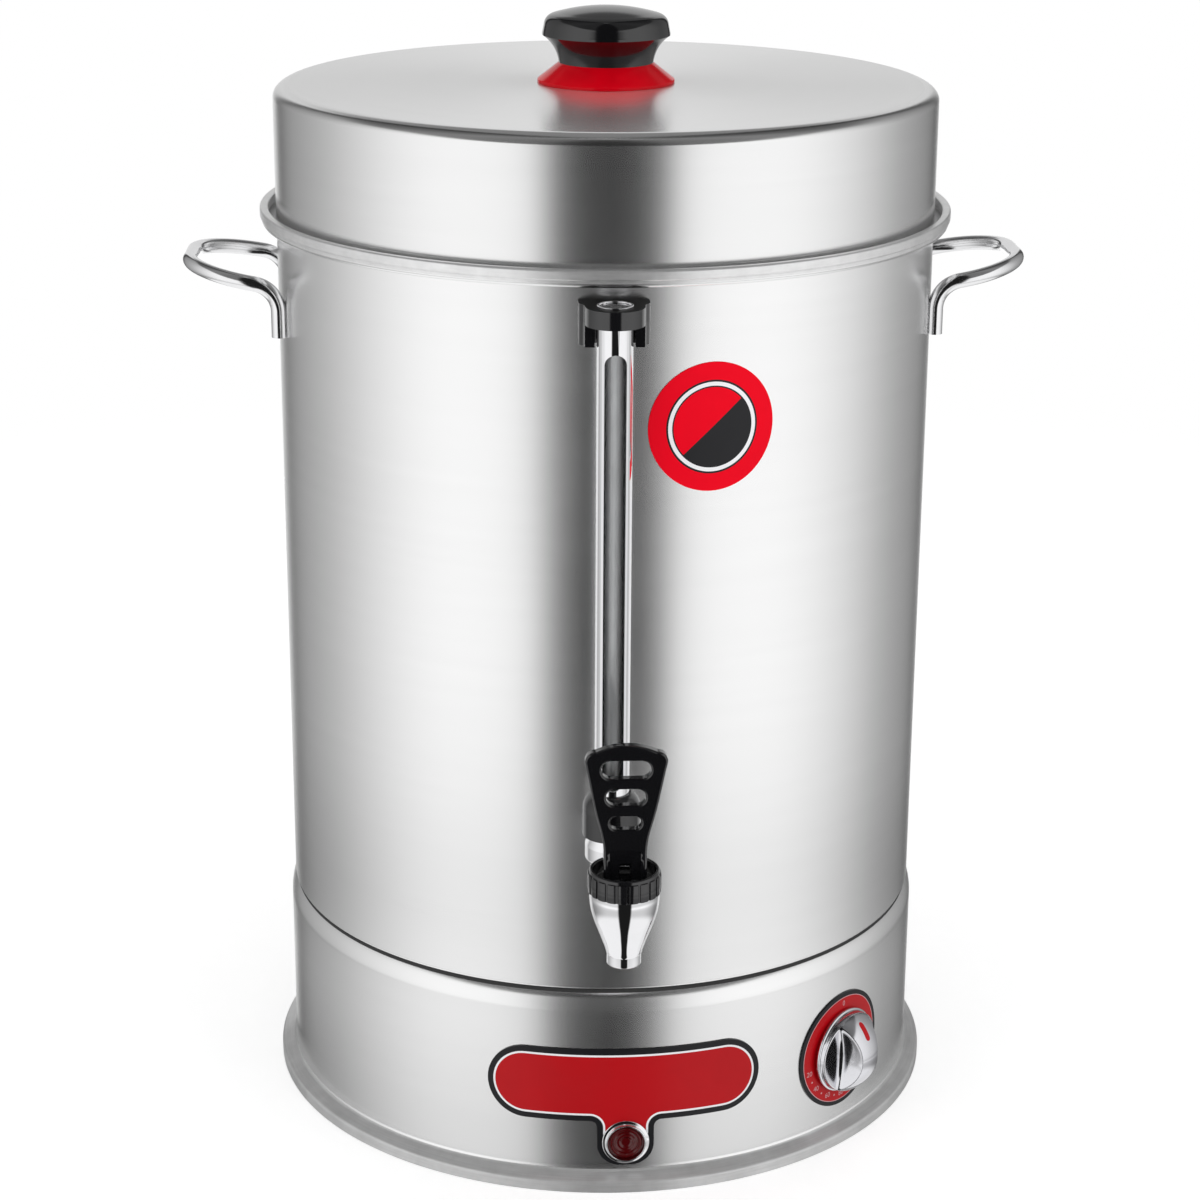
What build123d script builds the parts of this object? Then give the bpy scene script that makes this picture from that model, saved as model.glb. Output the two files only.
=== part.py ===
"""A hot water urn: a stainless vessel on a pressed base, with a lift-off lid, a spring-closed
lever tap, a sight gauge beside the tap and a rotary thermostat.

Millimetres. The origin is on the vessel's axis, on the surface the urn stands on. +Z is up and
the tap faces -Y. An azimuth is measured from -Y towards +X, seen from above anticlockwise.
"""
from build123d import *
from math import asin, cos, radians, sin, sqrt
import os

# ---- sheet, vessel and base -------------------------------------------------------------------
SHEET = 1.0
VESSEL_R = 175.0
SKIRT_R = VESSEL_R + 2.2
FOOT_R = SKIRT_R + 8.4
SKIRT_TOP = 107.0
GASKET_H = 6.0
VESSEL_Z = SKIRT_TOP + GASKET_H
WALL_H = 371.8
RIM_Z = VESSEL_Z + WALL_H
LIP_H = 8.9
RIM_R = VESSEL_R + 7.7
HEM = 5.2
FLOOR_BEND = 5.0
FLOOR_PLATE_Z = 12.0
FLOOR_PLATE_T = 1.2

# ---- lid --------------------------------------------------------------------------------------
GUTTER_Z = RIM_Z + SHEET
LID_R = VESSEL_R + 0.2
LID_CLEARANCE = 0.7
LOCATOR_DEPTH = 12.0
LID_H = 70.8
LID_TOP = GUTTER_Z + LID_H
LID_CORNER = 9.0
COLLAR_R = 36.3
COLLAR_H = 10.4
KNOB_Z = LID_TOP + COLLAR_H
KNOB_NECK_R = 25.0
KNOB_R = 33.8
KNOB_EDGE_H = 15.5
KNOB_SHOULDER_R = KNOB_R - 5.8
KNOB_SHOULDER_H = 25.0
KNOB_H = 29.0
KNOB_SCREW_R = 2.5
KNOB_THREAD_H = 14.0

# ---- handles ----------------------------------------------------------------------------------
HANDLE_ROD = 8.0
HANDLE_HALF = 44.0
HANDLE_REACH = VESSEL_R + 46.0
HANDLE_END_Z = RIM_Z - 54.8
HANDLE_ARM_Z = RIM_Z - 28.8
HANDLE_TIP_Z = RIM_Z - 19.8
HANDLE_BEND = 15.0
HANDLE_LOOP = 30.0
WELD_SINK = 0.6

# ---- tap --------------------------------------------------------------------------------------
TAP_Y = -(VESSEL_R + 50.0)
SHANK_Z = VESSEL_Z + 67.0
SHANK_R = 9.0
SHANK_BORE_R = 5.5
BONNET_Z = SHANK_Z + 12.3
BONNET_R = 18.4
BONNET_LIP_R = BONNET_R - 0.9
BONNET_H = 11.7
BONNET_WEB_Z = BONNET_Z + 4.7
RIB_COUNT = 20
CHAMBER_R = 11.0
TAP_R = BONNET_R - 1.5
SPOUT_R = 8.15
SPOUT_Z = SHANK_Z - 26.9
WAIST_Z = SPOUT_Z + 6.0
OUTLET_R = 5.5
STEM_R = 2.5
PIN_R = 1.5
PIN_Z = BONNET_Z + 9.2
LEVER_H = 70.6
LEVER_TOP = PIN_Z + LEVER_H
LEVER_FOOT_W = 21.3
LEVER_W = 40.0

# ---- sight gauge ------------------------------------------------------------------------------
GAUGE_X = -4.7
GAUGE_Y = -(VESSEL_R + 15.0)
TEE_TOP = SHANK_Z + 28.0
GUARD_R = 8.8
GUARD_T = 1.0
GLASS_R = 6.0
GLASS_T = 1.5
BRACKET_TOP = RIM_Z - 6.8
BRACKET_BOTTOM = BRACKET_TOP - 8.8
SLOT_W = 10.7

# ---- front panel and controls -----------------------------------------------------------------
PLATE_T = 0.8
PANEL_AZ = 1.5
PANEL_Z = 59.2
PANEL_H = 41.5
PANEL_HALF_ARC = 74.0
TAB_W = 30.0
LAMP_Z = 26.2
BEZEL_R = 12.5
LENS_R = 9.8
DIAL_AZ = 44.8
DIAL_Z = 52.0
DIAL_R = 33.0
SHAFT_R = 3.0
DIAL_KNOB_R = 22.5
LABEL_AZ = 14.7
LABEL_DROP = 71.5
LABEL_Z = RIM_Z - LABEL_DROP
LABEL_R = 32.5
LABEL_T = 0.4
INLET_AZ = 180.0
INLET_Z = 36.0
INLET_R = 4.3

# ---- fits -------------------------------------------------------------------------------------
FIT = 0.05
CLEARANCE = 0.3
THROUGH = 10.0


# ---- helpers ----------------------------------------------------------------------------------
def outline(points, radii=0.0):
    """A closed outline with its corners rounded by the given radii, one for each point."""
    if not isinstance(radii, (list, tuple)):
        radii = [radii] * len(points)
    return make_face(FilletPolyline(*points, radius=radii, close=True))


def turned(points, radii=0.0, x=0.0, y=0.0):
    """The outline of (radius, height) points turned about the vertical axis through x, y."""
    return Pos(x, y, 0) * revolve(Plane.XZ * outline(points, radii), Axis.Z)


def turned_box(r_in, r_out, z_low, z_high, x=0.0, y=0.0):
    """A ring, or a disc where r_in is 0, about the vertical axis through x, y."""
    return turned([(r_in, z_low), (r_out, z_low), (r_out, z_high), (r_in, z_high)], 0.0, x, y)


def bent_sheet(points, radii, side):
    """The section of a sheet that follows points, thickened to one side, with bent corners."""
    return make_face(offset(FilletPolyline(*points, radius=radii), amount=SHEET, side=side))


def facing(azimuth, distance, z):
    """A plane that looks outward at an azimuth: its x runs to the right, its y upward."""
    a = radians(azimuth)
    return Plane(
        origin=(distance * sin(a), -distance * cos(a), z),
        x_dir=(cos(a), sin(a), 0),
        z_dir=(sin(a), -cos(a), 0),
    )


def rod(start, end, radius):
    """A round rod between two points."""
    direction = Vector(*end) - Vector(*start)
    plane = Plane(origin=start, z_dir=direction.normalized())
    return extrude(plane * Circle(radius), direction.length)


def rod_along_y(x, y_front, y_back, z, radius):
    """A round rod that lies along Y."""
    return rod((x, y_front, z), (x, y_back, z), radius)


def around(count, radius, first=0.0):
    """Points on a circle about the vessel's axis, by azimuth."""
    step = 360.0 / count
    return [
        (radius * sin(radians(first + i * step)), -radius * cos(radians(first + i * step)))
        for i in range(count)
    ]


def cap_arc(edge_r, edge_z, top_z):
    """The arc of a spherical cap, from its edge to its top on the axis."""
    rise = top_z - edge_z
    cap_r = (edge_r**2 + rise**2) / (2 * rise)
    mid_r = edge_r / 2
    mid_z = top_z - cap_r + sqrt(cap_r**2 - mid_r**2)
    return ThreePointArc((edge_r, edge_z), (mid_r, mid_z), (0, top_z))


def inside_wall(radius):
    """Everything nearer the axis than a wall's radius, below the vessel's rim."""
    return turned_box(0, radius, 0, RIM_Z)


# ---- vessel -----------------------------------------------------------------------------------
ELEMENT_R = 95.0
ELEMENT_ROD = 4.0
ELEMENT_Z = VESSEL_Z + 24.0
ELEMENT_LEG_X = 14.5
ELEMENT_BEND = 12.0
ELEMENT_ANGLE = asin((ELEMENT_LEG_X + ELEMENT_BEND) / ELEMENT_R)
ELEMENT_END = (ELEMENT_R * sin(ELEMENT_ANGLE), ELEMENT_R * cos(ELEMENT_ANGLE))
STEP_BEND, LIP_BEND = 1.2, 2.2
HEM_EDGE, HEM_ROLL = 0.4, 0.9
BRACKET_SCREW_XS = (GAUGE_X - 11.0, GAUGE_X + 11.0)
BRACKET_SCREW_Z = BRACKET_BOTTOM - 4.5
BRACKET_SCREW_R = 2.0


def element_leg_points():
    """Where the heating element's two cold ends stand, found from the ring and its bends."""
    x_end, y_end = ELEMENT_END
    x = x_end - ELEMENT_BEND * cos(ELEMENT_ANGLE)
    y = y_end + ELEMENT_BEND * sin(ELEMENT_ANGLE)
    return [(x, y), (-x, y)]


def wall_hole(x, z, radius):
    """A cutter through the front of the vessel's wall."""
    return rod_along_y(x, -VESSEL_R - THROUGH, -VESSEL_R + THROUGH, z, radius)


def make_vessel():
    """A drawn pot: flat floor, straight wall, a step outward and a lip folded into a hem."""
    top = RIM_Z + LIP_H
    wall = bent_sheet(
        [(0, VESSEL_Z), (VESSEL_R, VESSEL_Z), (VESSEL_R, RIM_Z), (RIM_R, RIM_Z), (RIM_R, top)],
        [FLOOR_BEND, STEP_BEND, LIP_BEND],
        Side.LEFT,
    )
    hem_in, hem_out = RIM_R - SHEET, RIM_R + SHEET
    hem = outline(
        [(hem_in, top - HEM), (hem_out, top - HEM), (hem_out, top), (hem_in, top)],
        [0, HEM_EDGE, HEM_ROLL, HEM_EDGE],
    )
    body = revolve(Plane.XZ * (wall + hem), Axis.Z)
    body -= wall_hole(0, SHANK_Z, SHANK_R + CLEARANCE)
    for x in BRACKET_SCREW_XS:
        body -= wall_hole(x, BRACKET_SCREW_Z, BRACKET_SCREW_R + CLEARANCE)
    for x, y in element_leg_points():
        body -= Pos(x, y, VESSEL_Z) * Cylinder(ELEMENT_ROD + CLEARANCE, THROUGH)
    return body


def make_handle(side):
    """A round rod: up the wall from its weld, out over a bend, round the loop and back."""
    axis_r = VESSEL_R + HANDLE_ROD / 2 - WELD_SINK
    x = sqrt(axis_r**2 - HANDLE_HALF**2)
    path = FilletPolyline(
        (side * x, -HANDLE_HALF, HANDLE_END_Z),
        (side * x, -HANDLE_HALF, HANDLE_ARM_Z),
        (side * HANDLE_REACH, -HANDLE_HALF, HANDLE_TIP_Z),
        (side * HANDLE_REACH, HANDLE_HALF, HANDLE_TIP_Z),
        (side * x, HANDLE_HALF, HANDLE_ARM_Z),
        (side * x, HANDLE_HALF, HANDLE_END_Z),
        radius=[HANDLE_BEND, HANDLE_LOOP, HANDLE_LOOP, HANDLE_BEND],
    )
    section = Plane(origin=path @ 0, z_dir=path % 0) * Circle(HANDLE_ROD / 2)
    return sweep(section, path=path) - inside_wall(VESSEL_R)


def make_handle_left():
    return make_handle(-1)


def make_handle_right():
    return make_handle(1)


def make_round_label():
    disc = extrude(facing(LABEL_AZ, VESSEL_R - THROUGH, LABEL_Z) * Circle(LABEL_R), 2 * THROUGH)
    low, high = LABEL_Z - 2 * LABEL_R, LABEL_Z + 2 * LABEL_R
    return disc & turned_box(VESSEL_R, VESSEL_R + LABEL_T, low, high)


# ---- lid --------------------------------------------------------------------------------------
def make_lid():
    """A drawn cover with a locating ring inside that drops into the vessel's mouth."""
    shell = bent_sheet([(0, LID_TOP), (LID_R, LID_TOP), (LID_R, GUTTER_Z)], [LID_CORNER], Side.RIGHT)
    locator_r = VESSEL_R - SHEET - LID_CLEARANCE
    seat = outline(
        [
            (locator_r - SHEET, GUTTER_Z - LOCATOR_DEPTH),
            (locator_r, GUTTER_Z - LOCATOR_DEPTH),
            (locator_r, GUTTER_Z),
            (LID_R, GUTTER_Z),
            (LID_R, GUTTER_Z + SHEET),
            (locator_r - SHEET, GUTTER_Z + SHEET),
        ]
    )
    body = revolve(Plane.XZ * (shell + seat), Axis.Z)
    return body - Pos(0, 0, LID_TOP) * Cylinder(KNOB_SCREW_R + CLEARANCE, THROUGH)


def make_knob_collar():
    """A low cone with a short upright edge."""
    bore, edge_h, edge_round = KNOB_SCREW_R + CLEARANCE, 1.6, 0.8
    edge_top = (COLLAR_R, LID_TOP + edge_h)
    return turned(
        [(bore, LID_TOP), (COLLAR_R, LID_TOP), edge_top, (KNOB_NECK_R, KNOB_Z), (bore, KNOB_Z)],
        [0, 0, edge_round, 0, 0],
    )


def make_lid_knob():
    """A turned knob: a flared underside, a sharp edge, a rounded side and a domed top."""
    edge = KNOB_Z + KNOB_EDGE_H
    shoulder = KNOB_Z + KNOB_SHOULDER_H
    top = KNOB_Z + KNOB_H
    thread_top = KNOB_Z + KNOB_THREAD_H
    land = 1.2
    flare = (KNOB_NECK_R + 3.2, KNOB_Z + 8.6)
    side = (KNOB_R - 1.6, edge + 5.6)
    section = make_face(
        [
            Line((KNOB_SCREW_R, KNOB_Z), (KNOB_NECK_R, KNOB_Z)),
            ThreePointArc((KNOB_NECK_R, KNOB_Z), flare, (KNOB_R, edge - land)),
            Line((KNOB_R, edge - land), (KNOB_R, edge)),
            ThreePointArc((KNOB_R, edge), side, (KNOB_SHOULDER_R, shoulder)),
            cap_arc(KNOB_SHOULDER_R, shoulder, top),
            Line((0, top), (0, thread_top)),
            Line((0, thread_top), (KNOB_SCREW_R, thread_top)),
            Line((KNOB_SCREW_R, thread_top), (KNOB_SCREW_R, KNOB_Z)),
        ]
    )
    return revolve(Plane.XZ * section, Axis.Z)


def make_knob_screw():
    """A pan-head screw with a washer under the lid; its end fills the knob's thread."""
    under = LID_TOP - SHEET
    washer_r, washer_t = 7.5, 1.2
    head_r, head_h, head_bevel = 4.8, 2.4, 1.4
    washer_z = under - washer_t
    head_z = washer_z - head_h
    end = KNOB_Z + KNOB_THREAD_H
    return turned(
        [
            (0, head_z),
            (head_r - head_bevel, head_z),
            (head_r, head_z + head_bevel),
            (head_r, washer_z),
            (washer_r, washer_z),
            (washer_r, under),
            (KNOB_SCREW_R, under),
            (KNOB_SCREW_R, end),
            (0, end),
        ]
    )


# ---- base -------------------------------------------------------------------------------------
GASKET_IN = VESSEL_R - 17.0
GASKET_OUT = VESSEL_R - 7.0
SEAT_LAND = 4.0
SHOULDER_BEND, FLARE_BEND, FOOT_BEND = 7.0, 2.6, 1.8
FLARE_Z, FOOT_EDGE_Z = 9.3, 6.2
PILLAR_R = 4.0
PILLAR_RING = VESSEL_R - 55.0
SCREW_R = 2.0
SCREW_REACH = 10.0
FOOT_PAD_RING = SKIRT_R - 27.2
LAMP_BODY_R = 8.0
GLAND_R = 8.0
SHAFT_HOLE_R = SHAFT_R + 0.8


def skirt_hole(azimuth, z, radius):
    """A cutter through the skirt's wall."""
    return extrude(facing(azimuth, SKIRT_R - 2 * THROUGH, z) * Circle(radius), 3 * THROUGH)


def make_base_skirt():
    """A pressed ring: a land that carries the vessel, a wall and a flared, turned-down foot."""
    wall = bent_sheet(
        [
            (GASKET_IN - SEAT_LAND, SKIRT_TOP),
            (SKIRT_R, SKIRT_TOP),
            (SKIRT_R, FLARE_Z),
            (FOOT_R, FOOT_EDGE_Z),
            (FOOT_R, 0),
        ],
        [SHOULDER_BEND, FLARE_BEND, FOOT_BEND],
        Side.RIGHT,
    )
    body = revolve(Plane.XZ * wall, Axis.Z)
    body -= skirt_hole(PANEL_AZ, LAMP_Z, LAMP_BODY_R)
    body -= skirt_hole(DIAL_AZ, DIAL_Z, SHAFT_HOLE_R)
    return body - skirt_hole(INLET_AZ, INLET_Z, GLAND_R)


def make_base_gasket():
    return turned_box(GASKET_IN, GASKET_OUT, SKIRT_TOP, VESSEL_Z)


def make_floor_plate():
    """A flat plate with two rings of radial vent slots and three screw holes."""
    slot_l, slot_w = 22.0, 4.0
    plate = Pos(0, 0, FLOOR_PLATE_Z) * extrude(Circle(SKIRT_R - SHEET), FLOOR_PLATE_T)
    holes = Sketch()
    for ring, count in ((60.0, 10), (95.0, 16)):
        for i in range(count):
            angle = (i + 0.5) * 360.0 / count
            holes += Rot(0, 0, angle) * Pos(ring, 0, 0) * SlotOverall(slot_l, slot_w)
    for x, y in around(3, PILLAR_RING):
        holes += Pos(x, y) * Circle(SCREW_R + CLEARANCE)
    return plate - Pos(0, 0, FLOOR_PLATE_Z - SHEET) * extrude(holes, THROUGH)


def make_floor_pillars():
    """Three tapped pillars welded under the vessel's floor."""
    low = FLOOR_PLATE_Z + FLOOR_PLATE_T
    tapped = low + SCREW_REACH + 2 * SCREW_R
    pillars = [
        turned_box(0, PILLAR_R, low, VESSEL_Z, x, y) - turned_box(0, SCREW_R, low, tapped, x, y)
        for x, y in around(3, PILLAR_RING)
    ]
    return Compound(children=pillars)


def make_floor_screws():
    head_r, head_h, head_bevel = 4.2, 2.6, 1.2
    z = FLOOR_PLATE_Z
    end = z + FLOOR_PLATE_T + SCREW_REACH
    points = [
        (0, z - head_h),
        (head_r - head_bevel, z - head_h),
        (head_r, z - head_h + head_bevel),
        (head_r, z),
        (SCREW_R, z),
        (SCREW_R, end),
        (0, end),
    ]
    return Compound(children=[turned(points, 0.0, x, y) for x, y in around(3, PILLAR_RING)])


def make_rubber_feet():
    foot_r, top_r, edge_round = 10.0, 12.0, 1.0
    points = [(0, 0), (foot_r, 0), (top_r, FLOOR_PLATE_Z), (0, FLOOR_PLATE_Z)]
    feet = [turned(points, [0, edge_round, 0, 0], x, y) for x, y in around(4, FOOT_PAD_RING, 45.0)]
    return Compound(children=feet)


# ---- heating and control ----------------------------------------------------------------------
def bend_middle(leg, ring_end, mid_z):
    """The middle of the quarter bend between an upright leg and the ring."""
    share = 1 - 1 / sqrt(2)
    return (leg[0] + (ring_end[0] - leg[0]) * share, leg[1] + (ring_end[1] - leg[1]) * share, mid_z)


def make_heating_element():
    """A tubular ring above the vessel's floor; both ends turn down and pass through the floor."""
    leg_end, flange_r, flange_t = 22.0, 8.5, 2.5
    (x1, y1), (x2, y2) = element_leg_points()
    x_end, y_end = ELEMENT_END
    low, turn = VESSEL_Z - leg_end, ELEMENT_Z - ELEMENT_BEND
    mid_z = turn + ELEMENT_BEND / sqrt(2)
    first, last = (x_end, y_end, ELEMENT_Z), (-x_end, y_end, ELEMENT_Z)
    leg_top, far_leg_top = (x1, y1, turn), (x2, y2, turn)
    path = Wire(
        [
            Line((x1, y1, low), leg_top),
            ThreePointArc(leg_top, bend_middle(leg_top, first, mid_z), first),
            ThreePointArc(first, (0, -ELEMENT_R, ELEMENT_Z), last),
            ThreePointArc(last, bend_middle(far_leg_top, last, mid_z), far_leg_top),
            Line(far_leg_top, (x2, y2, low)),
        ]
    )
    tube = sweep(Plane(origin=(x1, y1, low), z_dir=(0, 0, 1)) * Circle(ELEMENT_ROD), path=path)
    floor = VESSEL_Z + SHEET
    for x, y in element_leg_points():
        tube += turned_box(0, flange_r, floor, floor + flange_t, x, y)
    return tube


def make_element_nuts():
    nut_r, nut_h = 8.6, 6.0
    nuts = [
        Pos(x, y, VESSEL_Z - nut_h) * extrude(RegularPolygon(nut_r, 6) - Circle(ELEMENT_ROD), nut_h)
        for x, y in element_leg_points()
    ]
    return Compound(children=nuts)


CUTOUT_X, CUTOUT_Y = 40.0, -40.0
BLADE_T, BLADE_W, BLADE_L = 0.8, 6.3, 8.0


def make_thermal_cutout():
    """A snap disc thermostat held against the vessel's floor, with its two blade terminals."""
    body_r, flange_r, cap_r = 8.0, 11.0, 8.5
    body_z, flange_z, cap_z = VESSEL_Z - 11.0, VESSEL_Z - 4.0, VESSEL_Z - 1.5
    blade_z = body_z + SHEET - BLADE_L / 2
    body = turned_box(0, body_r, body_z, flange_z, CUTOUT_X, CUTOUT_Y)
    body += turned_box(0, flange_r, flange_z, cap_z, CUTOUT_X, CUTOUT_Y)
    body += turned_box(0, cap_r, cap_z, VESSEL_Z, CUTOUT_X, CUTOUT_Y)
    for x in (CUTOUT_X - 3.5, CUTOUT_X + 3.5):
        body += Pos(x, CUTOUT_Y, blade_z) * Box(BLADE_T, BLADE_W, BLADE_L)
    return body


THERMOSTAT_DEPTH = 28.0
SHAFT_BACK = SKIRT_R - SHEET - 20.0


def thermostat_back(extra=0.0, z=DIAL_Z):
    """The plane of the thermostat's back, or one further in."""
    return facing(DIAL_AZ, SKIRT_R - SHEET - THERMOSTAT_DEPTH - extra, z)


def make_thermostat():
    """The switch body behind the wall, its front shaped to the wall's curve."""
    width, height, corner, blade_x, blade_y = 34.0, 30.0, 3.0, 10.0, 6.0
    body = extrude(thermostat_back() * RectangleRounded(width, height, corner), THERMOSTAT_DEPTH)
    body &= inside_wall(SKIRT_R - SHEET)
    body -= extrude(facing(DIAL_AZ, SHAFT_BACK - 2, DIAL_Z) * Circle(SHAFT_R + FIT), THERMOSTAT_DEPTH)
    blade = Rectangle(BLADE_T, BLADE_W)
    for x in (-blade_x, blade_x):
        body += extrude(thermostat_back(BLADE_L) * Pos(x, blade_y) * blade, BLADE_L + SHEET)
    return body


BULB_X, BULB_L, BULB_R = 72.0, 80.0, 3.0
CAPILLARY_R = 0.9


def make_thermostat_bulb():
    """The sensing bulb clamped under the vessel's floor, and its capillary from the switch."""
    exit_z, exit_run, lead = DIAL_Z - 6.0, 20.0, 20.0
    bulb_z = VESSEL_Z - BULB_R + 0.4
    low_y, high_y = -BULB_L / 4, 3 * BULB_L / 4
    start = thermostat_back(0.0, exit_z).origin
    inward = thermostat_back(exit_run, exit_z).origin
    bulb_start, bulb_end = (BULB_X, low_y, bulb_z), (BULB_X, high_y, bulb_z)
    path = FilletPolyline(
        start,
        inward,
        (inward.X, inward.Y, bulb_z),
        (BULB_X, low_y - lead, bulb_z),
        bulb_start,
        radius=[8.0, 8.0, 10.0],
    )
    tube = sweep(Plane(origin=path @ 0, z_dir=path % 0) * Circle(CAPILLARY_R), path=path)
    floor = Pos(BULB_X, (low_y + high_y) / 2, VESSEL_Z + THROUGH / 2) * Box(20, BULB_L + 20, THROUGH)
    return rod(bulb_start, bulb_end, BULB_R) - floor + tube


KNOB_BACK = SKIRT_R + PLATE_T + 0.5
KNOB_CROWN = 19.5
KNOB_RIM_H = 1.9
KNOB_WALL_H = 6.5
SHAFT_END = 12.0
INLAY_DEPTH = 1.2


def make_thermostat_shaft():
    length = KNOB_BACK + SHAFT_END - SHAFT_BACK
    return extrude(facing(DIAL_AZ, SHAFT_BACK, DIAL_Z) * Circle(SHAFT_R), length)


def knob_dome():
    """The knob's solid of revolution, standing on its own plane: rim, side wall and dome."""
    rim_r, wall_r, bevel = DIAL_KNOB_R + 1.0, DIAL_KNOB_R - 0.3, 0.5
    section = make_face(
        [
            Line((0, 0), (rim_r, 0)),
            Line((rim_r, 0), (rim_r, KNOB_RIM_H)),
            Line((rim_r, KNOB_RIM_H), (DIAL_KNOB_R, KNOB_RIM_H + bevel)),
            Line((DIAL_KNOB_R, KNOB_RIM_H + bevel), (wall_r, KNOB_WALL_H)),
            cap_arc(wall_r, KNOB_WALL_H, KNOB_CROWN),
            Line((0, KNOB_CROWN), (0, 0)),
        ]
    )
    return revolve(Plane.XZ * section, Axis.Z)


def make_thermostat_knob():
    """Two thumb scoops leave a waisted grip bar; each scoop's floor dips between its ends."""
    waist, bar_end, reach, floor, dip = 7.0, 14.0, 17.4, 4.5, 2.0
    side_r = (reach**2 + (bar_end - waist) ** 2) / (2 * (bar_end - waist))
    floor_r = (reach**2 + dip**2) / (2 * dip)
    body = knob_dome()
    for side in (-1, 1):
        wall = Pos(side * (waist + side_r), 0, KNOB_CROWN) * Cylinder(side_r, 3 * KNOB_CROWN)
        trough = Pos(0, 0, floor + floor_r) * Rot(0, 90, 0) * Cylinder(floor_r, 2 * side_r)
        body -= wall & trough
    body -= Cylinder(SHAFT_R, 2 * SHAFT_END)
    body -= pointer_inlay()
    return facing(DIAL_AZ, KNOB_BACK, DIAL_Z).location * body


def pointer_inlay():
    """A pill-shaped inlay near the top end of the grip bar, as deep all over as INLAY_DEPTH."""
    length, width, middle = 9.8, 2.6, 13.2
    pill = Pos(0, middle, 0) * extrude(SlotOverall(length, width, rotation=90), 2 * KNOB_CROWN)
    return pill & (knob_dome() - Pos(0, 0, -INLAY_DEPTH) * knob_dome())


def make_knob_pointer():
    return facing(DIAL_AZ, KNOB_BACK, DIAL_Z).location * pointer_inlay()


PLATE_FACE = SKIRT_R + PLATE_T


def curved_plate(azimuth, z, sketch):
    """A plate bent to the skirt's wall, cut to a sketch that faces an azimuth."""
    blank = extrude(facing(azimuth, SKIRT_R - 3 * THROUGH, z) * sketch, 6 * THROUGH)
    return blank & turned_box(SKIRT_R, PLATE_FACE, FOOT_EDGE_Z, SKIRT_TOP)


def make_dial_plate():
    return curved_plate(DIAL_AZ, DIAL_Z, Circle(DIAL_R) - Circle(SHAFT_HOLE_R))


def make_name_plate():
    """A long pill with a tab below its middle that carries the lamp."""
    tab_below_lamp, tab_corner, inner_fillet = 13.7, 12.0, 4.0
    half_w = SKIRT_R * sin(PANEL_HALF_ARC / SKIRT_R)
    tab_low = LAMP_Z - tab_below_lamp
    tab_h = PANEL_Z - tab_low
    shape = SlotOverall(2 * half_w, PANEL_H)
    shape += Pos(0, -tab_h / 2) * RectangleRounded(TAB_W, tab_h, tab_corner)
    inner = [
        v
        for v in shape.vertices()
        if abs(v.Y + PANEL_H / 2) < FIT and abs(abs(v.X) - TAB_W / 2) < FIT
    ]
    shape = fillet(inner, inner_fillet)
    shape -= Pos(0, LAMP_Z - PANEL_Z) * Circle(LAMP_BODY_R)
    return curved_plate(PANEL_AZ, PANEL_Z, shape)


BEZEL_FLANGE_T = 1.6
BEZEL_LIP_R = 11.2
BEZEL_H = 4.4
LENS_EDGE_H = 3.0
LENS_CROWN = 4.2


def on_lamp_axis(piece):
    """A turned piece of the lamp stood on the name plate, and cut to the plate's curve."""
    placed = facing(PANEL_AZ, PLATE_FACE, LAMP_Z).location * piece
    return placed - turned_box(0, PLATE_FACE, 0, SKIRT_TOP)


def make_lamp_bezel():
    """A flange on the plate with a raised ring that holds the lens."""
    return on_lamp_axis(
        turned(
            [
                (LENS_R, -SHEET),
                (BEZEL_R, -SHEET),
                (BEZEL_R, BEZEL_FLANGE_T),
                (BEZEL_LIP_R, BEZEL_FLANGE_T + 0.5),
                (BEZEL_LIP_R - 0.4, BEZEL_H),
                (LENS_R, BEZEL_H),
            ],
            [0, 0, 0.5, 0.3, 0.6, 0.3],
        )
    )


def make_lamp_lens():
    """A shallow dome held inside the bezel."""
    section = make_face(
        [
            Line((0, -SHEET), (LENS_R, -SHEET)),
            Line((LENS_R, -SHEET), (LENS_R, LENS_EDGE_H)),
            cap_arc(LENS_R, LENS_EDGE_H, LENS_CROWN),
            Line((0, LENS_CROWN), (0, -SHEET)),
        ]
    )
    return on_lamp_axis(revolve(Plane.XZ * section, Axis.Z))


def make_lamp_body():
    """The lamp's barrel behind the plate, with two blade terminals."""
    depth, blade_x, blade_w = 30.0, 3.5, 4.8
    barrel = Circle(LAMP_BODY_R - CLEARANCE)
    body = extrude(facing(PANEL_AZ, PLATE_FACE - depth, LAMP_Z) * barrel, depth + THROUGH)
    body &= inside_wall(PLATE_FACE)
    blade_plane = facing(PANEL_AZ, PLATE_FACE - depth - BLADE_L, LAMP_Z)
    for x in (-blade_x, blade_x):
        body += extrude(blade_plane * Pos(x, 0) * Rectangle(BLADE_T, blade_w), BLADE_L + SHEET)
    return body


TERMINAL_Y = SKIRT_R - 55.2


def make_terminal_block():
    """A three-way block on the floor plate, with two screw wells for each way."""
    base_w, base_d, base_h = 44.0, 20.0, 14.0
    tower_w, tower_h, pitch = 9.0, 5.0, 14.0
    well_r, well_y, well_depth = 2.2, 6.0, 6.0
    z = FLOOR_PLATE_Z + FLOOR_PLATE_T
    top = z + base_h + tower_h
    block = Pos(0, TERMINAL_Y, z + base_h / 2) * Box(base_w, base_d, base_h)
    for x in (-pitch, 0, pitch):
        block += Pos(x, TERMINAL_Y, z + base_h + tower_h / 2) * Box(tower_w, base_d, tower_h)
        for y in (-well_y, well_y):
            block -= Pos(x, TERMINAL_Y + y, top) * Cylinder(well_r, 2 * well_depth)
    return block


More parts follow.
